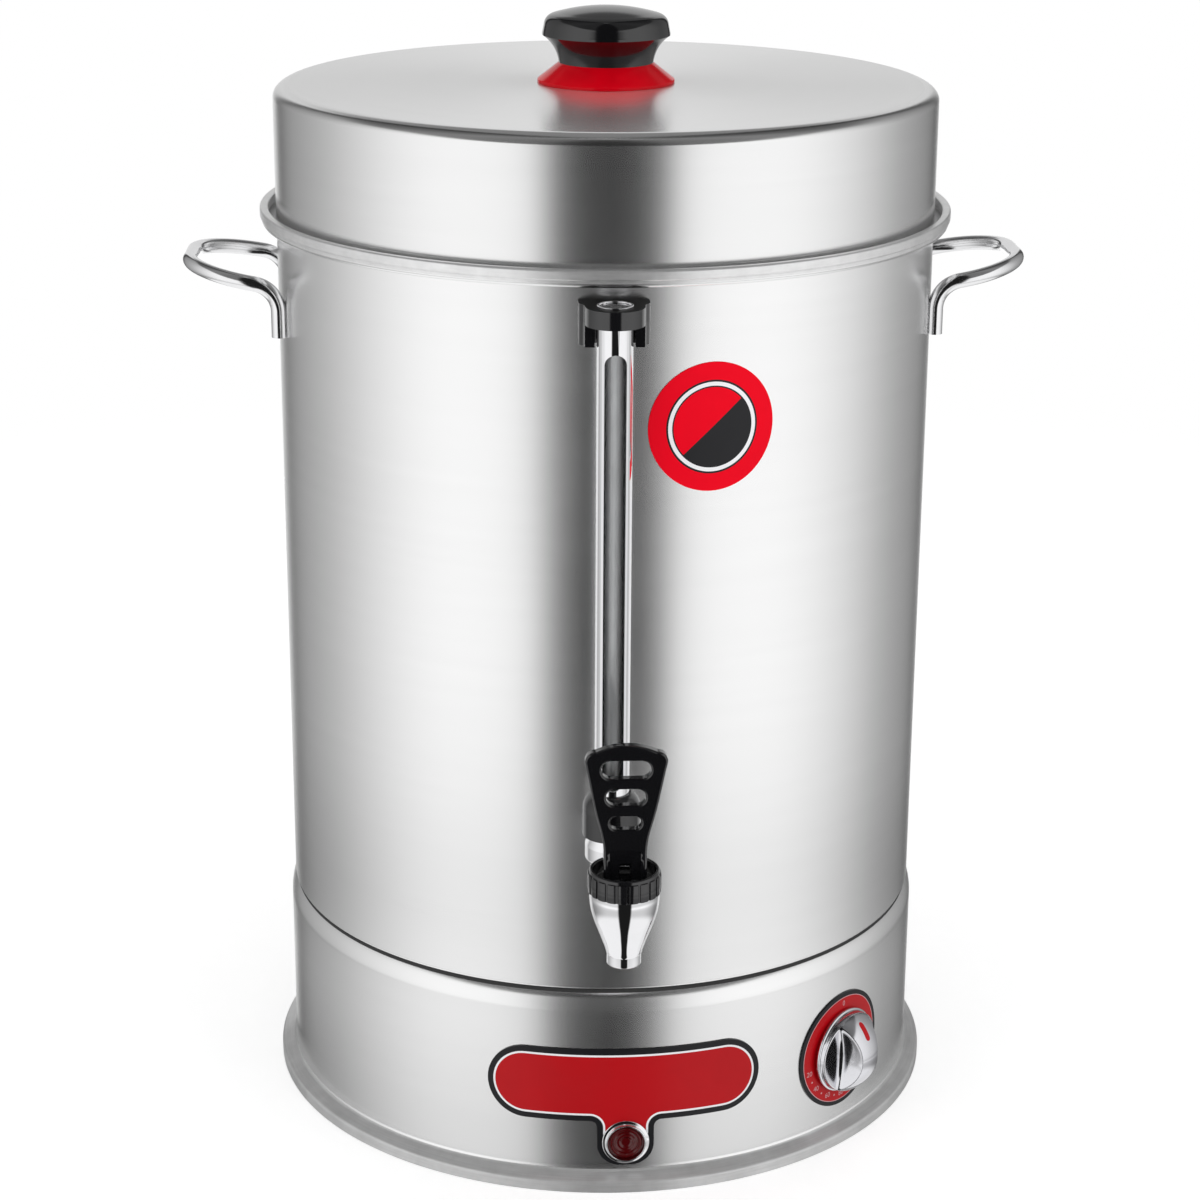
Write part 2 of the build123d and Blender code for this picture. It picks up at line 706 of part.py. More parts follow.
def make_cable_gland():
    """A moulded bush clipped in the back wall; the supply cable would pass through its bore."""
    flange_r, flange_t, nut_r, nut_t, bush_back = 11.5, 4.0, 12.0, 8.0, 18.0
    inner = SKIRT_R - SHEET
    plane = facing(INLET_AZ, SKIRT_R - bush_back, INLET_Z)
    bush = extrude(plane * Circle(GLAND_R - CLEARANCE / 3), bush_back + flange_t)
    flange = extrude(facing(INLET_AZ, inner, INLET_Z) * Circle(flange_r), flange_t + SHEET)
    nut = extrude(facing(INLET_AZ, inner - nut_t, INLET_Z) * RegularPolygon(nut_r, 6), nut_t)
    bush += flange - inside_wall(SKIRT_R)
    bush += nut & inside_wall(inner)
    return bush - extrude(plane * Circle(INLET_R), 3 * THROUGH)


# ---- tap --------------------------------------------------------------------------------------
TEE_BOSS_R = 12.0
GASKET_T = 3.0
WASHER_T = 1.5
TEE_L = 25.5
TEE_BACK = -(VESSEL_R + GASKET_T)
TEE_FRONT = TEE_BACK - TEE_L
FLANGE_Y = TEE_FRONT - WASHER_T
SHANK_END = -(VESSEL_R - SHEET - 14.0)
PLUG_H = 6.0
PLUG_BORE_R = 8.6
WEB_UNDER = BONNET_Z + 2.2


def make_tap_body():
    """A spout that swells into a round chamber, and the threaded shank that holds the tap."""
    edge, waist_step, land = 0.6, 0.5, 2.0
    spout_edge = (SPOUT_R - 0.3 * edge, SPOUT_Z + 0.3 * edge)
    swell = [(9.9, WAIST_Z + 4.4), (12.9, WAIST_Z + 11.4), (15.6, WAIST_Z + 20.0)]
    waist = (SPOUT_R + waist_step, WAIST_Z)
    collar = (TAP_R, BONNET_Z - land)
    outer = make_face(
        [
            Line((0, SPOUT_Z), (SPOUT_R - edge, SPOUT_Z)),
            ThreePointArc((SPOUT_R - edge, SPOUT_Z), spout_edge, (SPOUT_R, SPOUT_Z + edge)),
            Line((SPOUT_R, SPOUT_Z + edge), (SPOUT_R, WAIST_Z - waist_step)),
            Line((SPOUT_R, WAIST_Z - waist_step), waist),
            Spline(waist, *swell, collar, tangents=[(0.15, 1), (0, 1)]),
            Line(collar, (TAP_R, BONNET_Z)),
            Line((TAP_R, BONNET_Z), (0, BONNET_Z)),
            Line((0, BONNET_Z), (0, SPOUT_Z)),
        ]
    )
    body = Pos(0, TAP_Y, 0) * revolve(Plane.XZ * outer, Axis.Z)
    chamber_side = turned_box(0, TEE_BOSS_R, 0, BONNET_Z + THROUGH, 0, TAP_Y)
    body += rod_along_y(0, TAP_Y, FLANGE_Y, SHANK_Z, TEE_BOSS_R) - chamber_side
    body += rod_along_y(0, FLANGE_Y, SHANK_END, SHANK_Z, SHANK_R)
    body -= turned_box(0, CHAMBER_R, SHANK_Z - 6, BONNET_Z + 1, 0, TAP_Y)
    body -= turned_box(0, OUTLET_R, SPOUT_Z - 1, SHANK_Z, 0, TAP_Y)
    body -= rod_along_y(0, TAP_Y, SHANK_END + 1, SHANK_Z, SHANK_BORE_R)
    gauge_port_low, gauge_port_high = (0, GAUGE_Y, SHANK_Z - 8), (0, GAUGE_Y, SHANK_Z + THROUGH)
    return body - rod(gauge_port_low, gauge_port_high, 2.0)


def make_shank_gaskets():
    """The soft gasket against the wall and the thin washer under the tap's flange."""
    ring = Circle(TEE_BOSS_R) - Circle(SHANK_R)
    wall = extrude(facing(0, VESSEL_R - GASKET_T, SHANK_Z) * ring, 2 * GASKET_T) - inside_wall(VESSEL_R)
    washer = extrude(facing(0, -TEE_FRONT, SHANK_Z) * ring, WASHER_T)
    return Compound(children=[wall, washer])


def make_shank_nut():
    """The nut on the shank inside the vessel, on a washer shaped to the wall."""
    nut_r, nut_h, washer_t = 14.5, 6.0, 2.5
    inner = VESSEL_R - SHEET
    nut = extrude(facing(0, inner - washer_t - nut_h, SHANK_Z) * RegularPolygon(nut_r, 6), nut_h)
    washer = extrude(facing(0, inner - washer_t, SHANK_Z) * Circle(nut_r), 2 * washer_t)
    body = nut + (washer & inside_wall(inner))
    return body - rod_along_y(0, -inner - THROUGH, -inner + THROUGH, SHANK_Z, SHANK_R)


TEE_NECK_R = 9.4
TEE_NECK_H = 6.0


def make_gauge_tee():
    """A round boss that the shank passes through, with the gauge's barrel standing on it."""
    foot_r, barrel_r, shoulder_r, passage_r = 10.5, 13.4, 11.4, 4.0
    foot_top, barrel_low, shoulder_h = SHANK_Z + 12.5, SHANK_Z + 15.5, 5.0
    neck_top = TEE_TOP + TEE_NECK_H
    boss = rod_along_y(0, TEE_BACK, TEE_FRONT, SHANK_Z, TEE_BOSS_R)
    barrel = turned(
        [
            (0, SHANK_Z),
            (foot_r, SHANK_Z),
            (foot_r, foot_top),
            (barrel_r, barrel_low),
            (barrel_r, TEE_TOP - shoulder_h),
            (shoulder_r, TEE_TOP),
            (TEE_NECK_R, TEE_TOP),
            (TEE_NECK_R, neck_top),
            (0, neck_top),
        ],
        [0, 0, 1.5, 2.0, 3.0, 0.8, 0, 0, 0],
        GAUGE_X,
        GAUGE_Y,
    )
    body = boss + barrel
    body -= rod_along_y(0, TEE_BACK + THROUGH, TEE_FRONT - THROUGH, SHANK_Z, SHANK_R + CLEARANCE)
    body -= turned_box(0, passage_r, SHANK_Z, neck_top + 1, GAUGE_X, GAUGE_Y)
    return body - turned_box(0, GLASS_R + CLEARANCE, TEE_TOP - 8, neck_top + 1, GAUGE_X, GAUGE_Y)


NUT_R = 14.6
NUT_H = 14.0
NUT_DOME = 8.5
SEAL_H = 4.0
GUARD_SINK = 5.0
SEAL_Z = TEE_TOP + TEE_NECK_H


def make_gauge_nut():
    """The gland nut: a plain cylinder below a domed shoulder that holds the guard."""
    shoulder = TEE_TOP + NUT_H
    top = shoulder + NUT_DOME
    crown_r = GUARD_R + 0.6
    dome = (NUT_R - 1.4, shoulder + 5.2)
    outer = make_face(
        [
            Line((0, TEE_TOP), (NUT_R, TEE_TOP)),
            Line((NUT_R, TEE_TOP), (NUT_R, shoulder)),
            ThreePointArc((NUT_R, shoulder), dome, (crown_r, top)),
            Line((crown_r, top), (0, top)),
            Line((0, top), (0, TEE_TOP)),
        ]
    )
    body = Pos(GAUGE_X, GAUGE_Y, 0) * revolve(Plane.XZ * outer, Axis.Z)
    body -= turned_box(0, TEE_NECK_R, TEE_TOP - 1, SEAL_Z + SEAL_H, GAUGE_X, GAUGE_Y)
    body -= turned_box(0, GLASS_R + CLEARANCE, TEE_TOP, top + 1, GAUGE_X, GAUGE_Y)
    return body - turned_box(0, GUARD_R, top - GUARD_SINK, top + 1, GAUGE_X, GAUGE_Y)


def make_gauge_seal_lower():
    return turned_box(GLASS_R, TEE_NECK_R, SEAL_Z, SEAL_Z + SEAL_H, GAUGE_X, GAUGE_Y)


GUARD_LOW = TEE_TOP + NUT_H + NUT_DOME - GUARD_SINK
GUARD_HIGH = BRACKET_TOP - 4.0
SLOT_LOW = GUARD_LOW + 8.0
SLOT_HIGH = BRACKET_BOTTOM - 13.1
GLASS_LOW = TEE_TOP - 8.0
GLASS_HIGH = GUARD_HIGH - 2.0


def make_gauge_guard():
    """A thin tube with one long window down its front, round at both ends."""
    tube = turned_box(GUARD_R - GUARD_T, GUARD_R, GUARD_LOW, GUARD_HIGH, GAUGE_X, GAUGE_Y)
    window = SlotOverall(SLOT_HIGH - SLOT_LOW, SLOT_W, rotation=90)
    front = facing(0, -GAUGE_Y, (SLOT_HIGH + SLOT_LOW) / 2)
    return tube - extrude(Pos(GAUGE_X, 0, 0) * front * window, 2 * THROUGH)


def make_gauge_glass():
    return turned_box(GLASS_R - GLASS_T, GLASS_R, GLASS_LOW, GLASS_HIGH, GAUGE_X, GAUGE_Y)


def make_gauge_seal_upper():
    top = GLASS_HIGH - 1.0
    return turned_box(GLASS_R, GUARD_R - GUARD_T, top - SEAL_H, top, GAUGE_X, GAUGE_Y)


SADDLE_T = 3.0
BRACKET_HALF = 17.2
BRACKET_NOSE_R = 14.4
THREAD_REACH = 4.5


def make_gauge_bracket():
    """A moulded cap round the guard's top, swept back in waves to a saddle on the wall."""
    nose, half = BRACKET_NOSE_R, BRACKET_HALF
    wave_y, shoulder_y = 3.5, 8.0
    back_y = -GAUGE_Y - VESSEL_R + SADDLE_T + 1
    bulge = nose + 0.4
    plan = make_face(
        [
            ThreePointArc((nose, 0), (0, -nose), (-nose, 0)),
            Spline((-nose, 0), (-bulge, wave_y), (-half, shoulder_y), tangents=[(0, 1), (-0.2, 1)]),
            Line((-half, shoulder_y), (-half, back_y)),
            Line((-half, back_y), (half, back_y)),
            Line((half, back_y), (half, shoulder_y)),
            Spline((half, shoulder_y), (bulge, wave_y), (nose, 0), tangents=[(-0.2, -1), (0, -1)]),
        ]
    )
    cap = Pos(GAUGE_X, GAUGE_Y, BRACKET_BOTTOM) * extrude(plan, BRACKET_TOP - BRACKET_BOTTOM)
    saddle_h = 11.2
    saddle_z = BRACKET_BOTTOM - saddle_h / 2 + 0.1
    saddle = Pos(GAUGE_X, -VESSEL_R - SADDLE_T, saddle_z) * Box(2 * half, 2 * SADDLE_T, saddle_h)
    body = cap + saddle - inside_wall(VESSEL_R)
    body -= turned_box(0, GUARD_R, BRACKET_BOTTOM - 1, BRACKET_TOP + 1, GAUGE_X, GAUGE_Y)
    for x in BRACKET_SCREW_XS:
        end = -VESSEL_R - THREAD_REACH
        body -= rod_along_y(x, -VESSEL_R + SADDLE_T, end, BRACKET_SCREW_Z, BRACKET_SCREW_R)
    return body


def make_gauge_cap():
    """The plug in the guard's end: a shallow dish with a raised rim."""
    rim_h, rim_t, rim_round = 0.9, 1.2, 0.4
    rim_top, rim_in = BRACKET_TOP + rim_h, GUARD_R - rim_t
    return turned(
        [
            (0, GUARD_HIGH),
            (GUARD_R, GUARD_HIGH),
            (GUARD_R, rim_top),
            (rim_in, rim_top),
            (rim_in, BRACKET_TOP),
            (0, BRACKET_TOP),
        ],
        [0, 0, rim_round, rim_round, 0, 0],
        GAUGE_X,
        GAUGE_Y,
    )


def make_bracket_screws():
    """Two screws through the wall from inside the vessel into the bracket's saddle."""
    head_r, head_h = 3.6, 2.4
    screws = []
    for x in BRACKET_SCREW_XS:
        wall_y = -sqrt((VESSEL_R - SHEET) ** 2 - (abs(x) + head_r) ** 2)
        end = -VESSEL_R - THREAD_REACH
        head = rod_along_y(x, wall_y, wall_y + head_h, BRACKET_SCREW_Z, head_r)
        shank = rod_along_y(x, wall_y, end, BRACKET_SCREW_Z, BRACKET_SCREW_R)
        screws.append(head + shank)
    return Compound(children=screws)


def make_tap_bonnet():
    """The screwed collar: a grooved grip band, an open cup for the lever and a plug below."""
    lip_t, band_h, step = 1.9, 9.6, 0.4
    groove_w, groove_depth = 1.1, 0.7
    top, band_top, cup_r = BONNET_Z + BONNET_H, BONNET_Z + band_h, BONNET_LIP_R - lip_t
    body = turned(
        [
            (0, BONNET_Z),
            (BONNET_R, BONNET_Z),
            (BONNET_R, band_top),
            (BONNET_LIP_R, band_top + step),
            (BONNET_LIP_R, top),
            (cup_r, top),
            (cup_r, BONNET_WEB_Z),
            (0, BONNET_WEB_Z),
        ],
        [0, 0.6, 0.3, 0.3, 0.9, 0.5, 0, 0],
        0,
        TAP_Y,
    )
    body += turned_box(0, CHAMBER_R, BONNET_Z - PLUG_H, BONNET_Z, 0, TAP_Y)
    body -= turned_box(0, PLUG_BORE_R, BONNET_Z - PLUG_H - 1, WEB_UNDER, 0, TAP_Y)
    body -= turned_box(0, STEM_R + FIT, BONNET_Z - PLUG_H - 1, top + 1, 0, TAP_Y)
    groove = Pos(BONNET_R, 0, BONNET_Z + band_h / 2) * Box(2 * groove_depth, groove_w, band_h + 2)
    grooves = [Rot(0, 0, i * 360.0 / RIB_COUNT) * groove for i in range(RIB_COUNT)]
    return body - Pos(0, TAP_Y, 0) * Compound(children=grooves)


SEAT_Z = SHANK_Z - 6.0
CUP_H = 9.0
CUP_TOP = SEAT_Z + CUP_H
EYE_HALF = 2.4
EYE_R = 3.4


def make_tap_stem():
    """A rod with a flat eye at its top for the lever's pin and a flange held in the seat cup."""
    flange_r, flange_z, flange_t = STEM_R + 1.5, SEAT_Z + 4.0, 1.5
    eye_low, eye_top = BONNET_WEB_Z + 0.5, PIN_Z + 2.4
    stem = turned_box(0, STEM_R, SEAT_Z + 2, eye_low + 1, 0, TAP_Y)
    stem += turned_box(0, flange_r, flange_z, flange_z + flange_t, 0, TAP_Y)
    stem += Pos(0, TAP_Y, (eye_low + eye_top) / 2) * Box(2 * EYE_HALF, 2 * EYE_R - 2, eye_top - eye_low)
    stem += rod((-EYE_HALF, TAP_Y, PIN_Z), (EYE_HALF, TAP_Y, PIN_Z), EYE_R)
    return stem - rod((-THROUGH, TAP_Y, PIN_Z), (THROUGH, TAP_Y, PIN_Z), PIN_R + FIT)


def make_seat_cup():
    """The soft cup that closes the outlet, moulded round the stem's end."""
    cup_r, cup_edge, neck_r = 8.2, 2.0, 5.4
    cup = turned(
        [(0, SEAT_Z), (cup_r, SEAT_Z), (cup_r, SEAT_Z + cup_edge), (neck_r, CUP_TOP), (0, CUP_TOP)],
        [0, 0.8, 1.5, 1.0, 0],
        0,
        TAP_Y,
    )
    return cup - make_tap_stem()


SPRING_R = 5.4
SPRING_WIRE = 0.6
SPRING_TURNS = 3.5


def make_tap_spring():
    """A closing spring between the bonnet's web and the seat cup."""
    pitch = (WEB_UNDER - CUP_TOP - 2 * SPRING_WIRE) / SPRING_TURNS
    low = (0, 0, CUP_TOP + SPRING_WIRE)
    path = Helix(pitch=pitch, height=pitch * SPRING_TURNS, radius=SPRING_R, center=low)
    section = Plane(origin=path @ 0, z_dir=path % 0) * Circle(SPRING_WIRE)
    return Pos(0, TAP_Y, 0) * sweep(section, path=path, is_frenet=True)


LEVER_GAP = 0.3
LEVER_FOOT_Z = BONNET_WEB_Z + LEVER_GAP
LEVER_SLOTS = ((57.6, 24.2, 9.8), (42.6, 19.5, 9.0), (28.6, 15.6, 7.2))
LEVER_ROUND = 1.2
LEVER_SHOULDER = PIN_Z + 14.0


def lever_front():
    """The paddle seen from the front: an upright foot, widening sides and a low crown."""
    foot, half = LEVER_FOOT_W / 2, LEVER_W / 2
    crown, corner = LEVER_TOP - 3.4, LEVER_TOP - 9.5
    crown_half, corner_in = half - 5.0, half - 1.2
    neck_z, mid_z, mid = PIN_Z + 12.0, PIN_Z + 30.0, foot + 3.2
    return make_face(
        [
            Line((-foot, LEVER_FOOT_Z), (foot, LEVER_FOOT_Z)),
            Line((foot, LEVER_FOOT_Z), (foot, neck_z)),
            Spline((foot, neck_z), (mid, mid_z), (half, corner), tangents=[(0, 1), (0.2, 1)]),
            ThreePointArc((half, corner), (corner_in, crown - 1.6), (crown_half, crown)),
            ThreePointArc((crown_half, crown), (0, LEVER_TOP), (-crown_half, crown)),
            ThreePointArc((-crown_half, crown), (-corner_in, crown - 1.6), (-half, corner)),
            Spline((-half, corner), (-mid, mid_z), (-foot, neck_z), tangents=[(0.2, -1), (0, -1)]),
            Line((-foot, neck_z), (-foot, LEVER_FOOT_Z)),
        ]
    )


def lever_side():
    """The paddle seen from the side: a thick foot and a blade that sweeps forward and thins."""
    foot_y, foot_top = 6.0, PIN_Z + 4.0
    waist_z, blade_z = PIN_Z + 0.255 * LEVER_H, PIN_Z + 0.708 * LEVER_H
    top = LEVER_TOP + 2.0
    back = [(foot_y, foot_top), (1.4, waist_z), (-2.2, blade_z), (-5.0, top)]
    front = [(-10.4, top), (-8.2, blade_z), (-5.6, waist_z), (-foot_y, foot_top)]
    return make_face(
        [
            Line((-foot_y, LEVER_FOOT_Z + 1.5), (1.5 - foot_y, LEVER_FOOT_Z)),
            Line((1.5 - foot_y, LEVER_FOOT_Z), (foot_y - 1.0, LEVER_FOOT_Z)),
            Line((foot_y - 1.0, LEVER_FOOT_Z), (foot_y, LEVER_FOOT_Z + 1.0)),
            Line((foot_y, LEVER_FOOT_Z + 1.0), (foot_y, foot_top)),
            Spline(*back),
            Line(back[-1], front[0]),
            Spline(*front),
            Line(front[-1], (-foot_y, LEVER_FOOT_Z + 1.5)),
        ]
    )


def make_lever():
    """A slotted paddle on a forked foot, with a shallow recess in the foot's front."""
    blade = extrude(Plane.XZ * lever_front(), 2 * THROUGH, both=True)
    body = blade & extrude(Plane.YZ * lever_side(), LEVER_W, both=True)
    for z, width, height in LEVER_SLOTS:
        slot = facing(0, 0, PIN_Z + z) * SlotOverall(width, height)
        body -= extrude(slot, 2 * THROUGH, both=True)
    body = fillet([edge for edge in body.edges() if edge.center().Z > LEVER_SHOULDER], LEVER_ROUND)
    fork_w, fork_h = 2 * EYE_HALF + 0.8, 14.6
    recess_w, recess_depth, recess_h = 15.4, 1.3, 15.0
    body -= Pos(0, 0, LEVER_FOOT_Z + fork_h / 2 - 3.7) * Box(fork_w, 2 * THROUGH, fork_h)
    body -= Pos(0, -6, PIN_Z + 5.8) * Box(recess_w, 2 * recess_depth, recess_h)
    body = Pos(0, TAP_Y, 0) * body
    return body - rod((-LEVER_W, TAP_Y, PIN_Z), (LEVER_W, TAP_Y, PIN_Z), PIN_R)


def make_lever_pin():
    return rod((-LEVER_FOOT_W / 2, TAP_Y, PIN_Z), (LEVER_FOOT_W / 2, TAP_Y, PIN_Z), PIN_R)


# ---- the set ----------------------------------------------------------------------------------
PARTS = {
    "vessel": make_vessel,
    "handle_left": make_handle_left,
    "handle_right": make_handle_right,
    "round_label": make_round_label,
    "lid": make_lid,
    "knob_collar": make_knob_collar,
    "lid_knob": make_lid_knob,
    "knob_screw": make_knob_screw,
    "base_skirt": make_base_skirt,
    "base_gasket": make_base_gasket,
    "floor_plate": make_floor_plate,
    "floor_pillars": make_floor_pillars,
    "floor_screws": make_floor_screws,
    "rubber_feet": make_rubber_feet,
    "heating_element": make_heating_element,
    "element_nuts": make_element_nuts,
    "thermal_cutout": make_thermal_cutout,
    "thermostat": make_thermostat,
    "thermostat_bulb": make_thermostat_bulb,
    "thermostat_shaft": make_thermostat_shaft,
    "thermostat_knob": make_thermostat_knob,
    "knob_pointer": make_knob_pointer,
    "dial_plate": make_dial_plate,
    "name_plate": make_name_plate,
    "lamp_bezel": make_lamp_bezel,
    "lamp_lens": make_lamp_lens,
    "lamp_body": make_lamp_body,
    "terminal_block": make_terminal_block,
    "cable_gland": make_cable_gland,
    "tap_body": make_tap_body,
    "shank_gaskets": make_shank_gaskets,
    "shank_nut": make_shank_nut,
    "tap_bonnet": make_tap_bonnet,
    "tap_stem": make_tap_stem,
    "seat_cup": make_seat_cup,
    "tap_spring": make_tap_spring,
    "lever": make_lever,
    "lever_pin": make_lever_pin,
    "gauge_tee": make_gauge_tee,
    "gauge_nut": make_gauge_nut,
    "gauge_seal_lower": make_gauge_seal_lower,
    "gauge_guard": make_gauge_guard,
    "gauge_glass": make_gauge_glass,
    "gauge_seal_upper": make_gauge_seal_upper,
    "gauge_bracket": make_gauge_bracket,
    "gauge_cap": make_gauge_cap,
    "bracket_screws": make_bracket_screws,
}

os.makedirs("parts", exist_ok=True)
for name, make in PARTS.items():
    export_step(make(), f"parts/{name}.step")
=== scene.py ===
# %% [markdown]
# # A hot water urn, finished in Blender
#
# The urn's working pieces, with their real sizes and joints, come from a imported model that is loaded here
# as a fixed frame. This lesson gives each visible piece its finish. Where a piece's surface decides how
# light runs over it, such as the spun steel or the plated tap, the piece is made again here, finer, in
# the same place.

# %% Load the frame
import math
from contextlib import contextmanager

import bmesh
import bpy
from mathutils import Matrix, Vector


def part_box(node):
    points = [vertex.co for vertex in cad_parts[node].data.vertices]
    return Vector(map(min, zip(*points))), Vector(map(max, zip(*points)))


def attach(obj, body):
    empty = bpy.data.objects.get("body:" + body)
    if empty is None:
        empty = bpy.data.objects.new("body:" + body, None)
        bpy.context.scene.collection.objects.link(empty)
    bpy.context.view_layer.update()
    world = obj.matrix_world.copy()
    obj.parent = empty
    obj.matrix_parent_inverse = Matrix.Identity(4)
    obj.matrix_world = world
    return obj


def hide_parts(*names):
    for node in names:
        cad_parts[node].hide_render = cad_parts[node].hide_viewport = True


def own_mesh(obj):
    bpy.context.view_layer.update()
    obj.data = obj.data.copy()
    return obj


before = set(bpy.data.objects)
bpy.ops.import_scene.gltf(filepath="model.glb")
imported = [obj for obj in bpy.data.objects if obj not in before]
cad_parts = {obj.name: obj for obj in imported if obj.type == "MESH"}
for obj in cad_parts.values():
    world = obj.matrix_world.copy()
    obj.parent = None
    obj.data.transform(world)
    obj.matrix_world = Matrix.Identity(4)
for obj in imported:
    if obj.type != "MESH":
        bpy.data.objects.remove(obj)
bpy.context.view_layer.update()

# %% [markdown]
# ## Sizes
#
# The room is laid out in metres. The urn's own sizes are in millimetres, as on a drawing, and each helper
# that makes a mesh turns them into metres. The main ones are read from the frame, so a piece made here
# sits where the frame's own piece sits. The few that a box can't tell, such as a sheet's thickness or how
# far the lip and the foot reach past the wall, are written down by name.

# %% Sizes read from the frame
MM = 0.001
SHEET = 1.0
LIP_REACH, LIP_H, FOOT_REACH = 8.7, 8.9, 8.4
TAP_REACH, SPOUT_DROP, BONNET_RISE = 50.0, 26.9, 12.3


def box(node):
    """A node's lowest and highest corners, in millimetres."""
    return [Vector(corner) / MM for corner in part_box(node)]


vessel_low, vessel_high = box("vessel")
WALL_R, RIM_R = vessel_high.x - LIP_REACH, vessel_high.x - SHEET
VESSEL_Z, RIM_TOP = vessel_low.z, vessel_high.z
RIM_Z = RIM_TOP - LIP_H
lid_low, lid_high = box("lid")
LID_R, LID_TOP = lid_high.x, lid_high.z
skirt_high = box("base_skirt")[1]
FOOT_R, SKIRT_TOP = skirt_high.x, skirt_high.z
SKIRT_R = FOOT_R - FOOT_REACH
TAP_Y = -(WALL_R + TAP_REACH)
SPOUT_Z = box("tap_body")[0].z
SHANK_Z = SPOUT_Z + SPOUT_DROP
BONNET_Z = SHANK_Z + BONNET_RISE
print(f"wall radius {WALL_R:.1f}, lid top {LID_TOP:.1f}, tap at y {TAP_Y:.1f}")

# %% [markdown]
# ## The camera
#
# A camera first, because every later choice is judged through it. It stands a little to the left of the
# tap and looks down on the lid. A long lens keeps the upright walls nearly parallel. The matrix is
# written as turns in the order that a photographer makes them: heading, tilt, then a small roll.

# %% Camera
HEADING, TILT, ROLL = 2.9, 18.43, 0.34
CAMERA_PLACE, LENS = (-0.0784, -1.5174, 0.7744), 85.85


def linked(name, data):
    """A new object in the scene."""
    thing = bpy.data.objects.new(name, data)
    bpy.context.scene.collection.objects.link(thing)
    return thing


def spin(degrees, axis):
    return Matrix.Rotation(math.radians(degrees), 4, axis)


camera = linked("urn_camera", bpy.data.cameras.new("urn_camera"))
camera.data.lens = LENS
gaze = spin(-HEADING, "Z") @ spin(90 - TILT, "X") @ spin(ROLL, "Z")
camera.matrix_world = Matrix.Translation(CAMERA_PLACE) @ gaze
bpy.context.scene.camera = camera
bpy.context.scene.view_settings.view_transform = "Standard"
print("camera lens", camera.data.lens)

# %% [markdown]
# ## Node helpers
#
# Shader and geometry trees are built in code, so a few small helpers save much typing: one adds a node
# and sets its inputs, and the others make the nodes that come back most. An input may be given by name or
# by number.

# %% Node helpers
def add(tree, kind, inputs=None, **settings):
    """A new node, with settings such as operation, and inputs given as values or as sockets to link."""
    node = tree.nodes.new(kind)
    for key, value in settings.items():
        setattr(node, key, value)
    for key, value in (inputs or {}).items():
        if isinstance(value, bpy.types.NodeSocket):
            tree.links.new(value, node.inputs[key])
        else:
            node.inputs[key].default_value = value
    return node


def maths(tree, operation, *values):
    """One Math node's result."""
    return add(tree, "ShaderNodeMath", dict(enumerate(values)), operation=operation).outputs[0]


def between(tree, value, low, high, start=0.0, end=1.0):
    """A value mapped from one range to another, kept inside it."""
    inputs = {"Value": value, "From Min": start, "From Max": end, "To Min": low, "To Max": high}
    return add(tree, "ShaderNodeMapRange", inputs).outputs[0]


def blend_colour(tree, share, first, second):
    """A colour between two colours."""
    return add(tree, "ShaderNodeMix", {"Factor": share, 6: first, 7: second}, data_type="RGBA").outputs[2]


def noise(tree, vector, scale, detail, **more):
    """A Noise Texture's value."""
    inputs = {"Vector": vector, "Scale": scale, "Detail": detail, **more}
    return add(tree, "ShaderNodeTexNoise", inputs).outputs["Fac"]


def object_place(tree):
    return add(tree, "ShaderNodeTexCoord").outputs["Object"]


def cleared(owner):
    """The emptied node tree of a material or a world."""
    owner.use_nodes = True
    owner.node_tree.nodes.clear()
    return owner.node_tree


def rgba(colour, share=1.0):
    """A colour of three numbers, dimmed to a share, as shader sockets take it."""
    return (*[part * share for part in colour], 1.0)


def grey(value):
    return rgba((value, value, value))


# %% [markdown]
# ## The studio
#
# Metal shows what stands round it. Steel needs a white room with a few dark things in it, or it looks
# like grey paint. So the world is white for the camera, for reflections and for glass, and a plain soft
# grey for the light it casts. Dark cards then stand in that room: a narrow one in front, which draws the
# dark band down the middle of every round piece, one overhead, and greyer ones behind. The cards are seen
# only in reflections.

# %% World
SOFT_LIGHT = 0.72


def build_world():
    world = bpy.data.worlds.new("studio")
    bpy.context.scene.world = world
    tree = cleared(world)
    path = add(tree, "ShaderNodeLightPath").outputs
    seen = maths(tree, "MAXIMUM", path["Is Camera Ray"], path["Is Glossy Ray"])
    seen = maths(tree, "MAXIMUM", seen, path["Is Transmission Ray"])
    soft = add(tree, "ShaderNodeBackground", {"Color": grey(1.0), "Strength": SOFT_LIGHT})
    white = add(tree, "ShaderNodeBackground", {"Color": grey(1.0), "Strength": 1.0})
    mix = add(tree, "ShaderNodeMixShader", {0: seen, 1: soft.outputs[0], 2: white.outputs[0]})
    add(tree, "ShaderNodeOutputWorld", {"Surface": mix.outputs[0]})
    return world


print("world:", build_world().name)

# %% [markdown]
# The floor is a pale disc that fades into the white room, so no edge shows. For the camera alone it glows
# a little, which lifts it to white without any more light on the urn, and it keeps the urn's soft shadow.

# %% Floor
FLOOR_NEAR, FLOOR_FAR, FLOOR_GLOW = 0.42, 1.5, 0.36


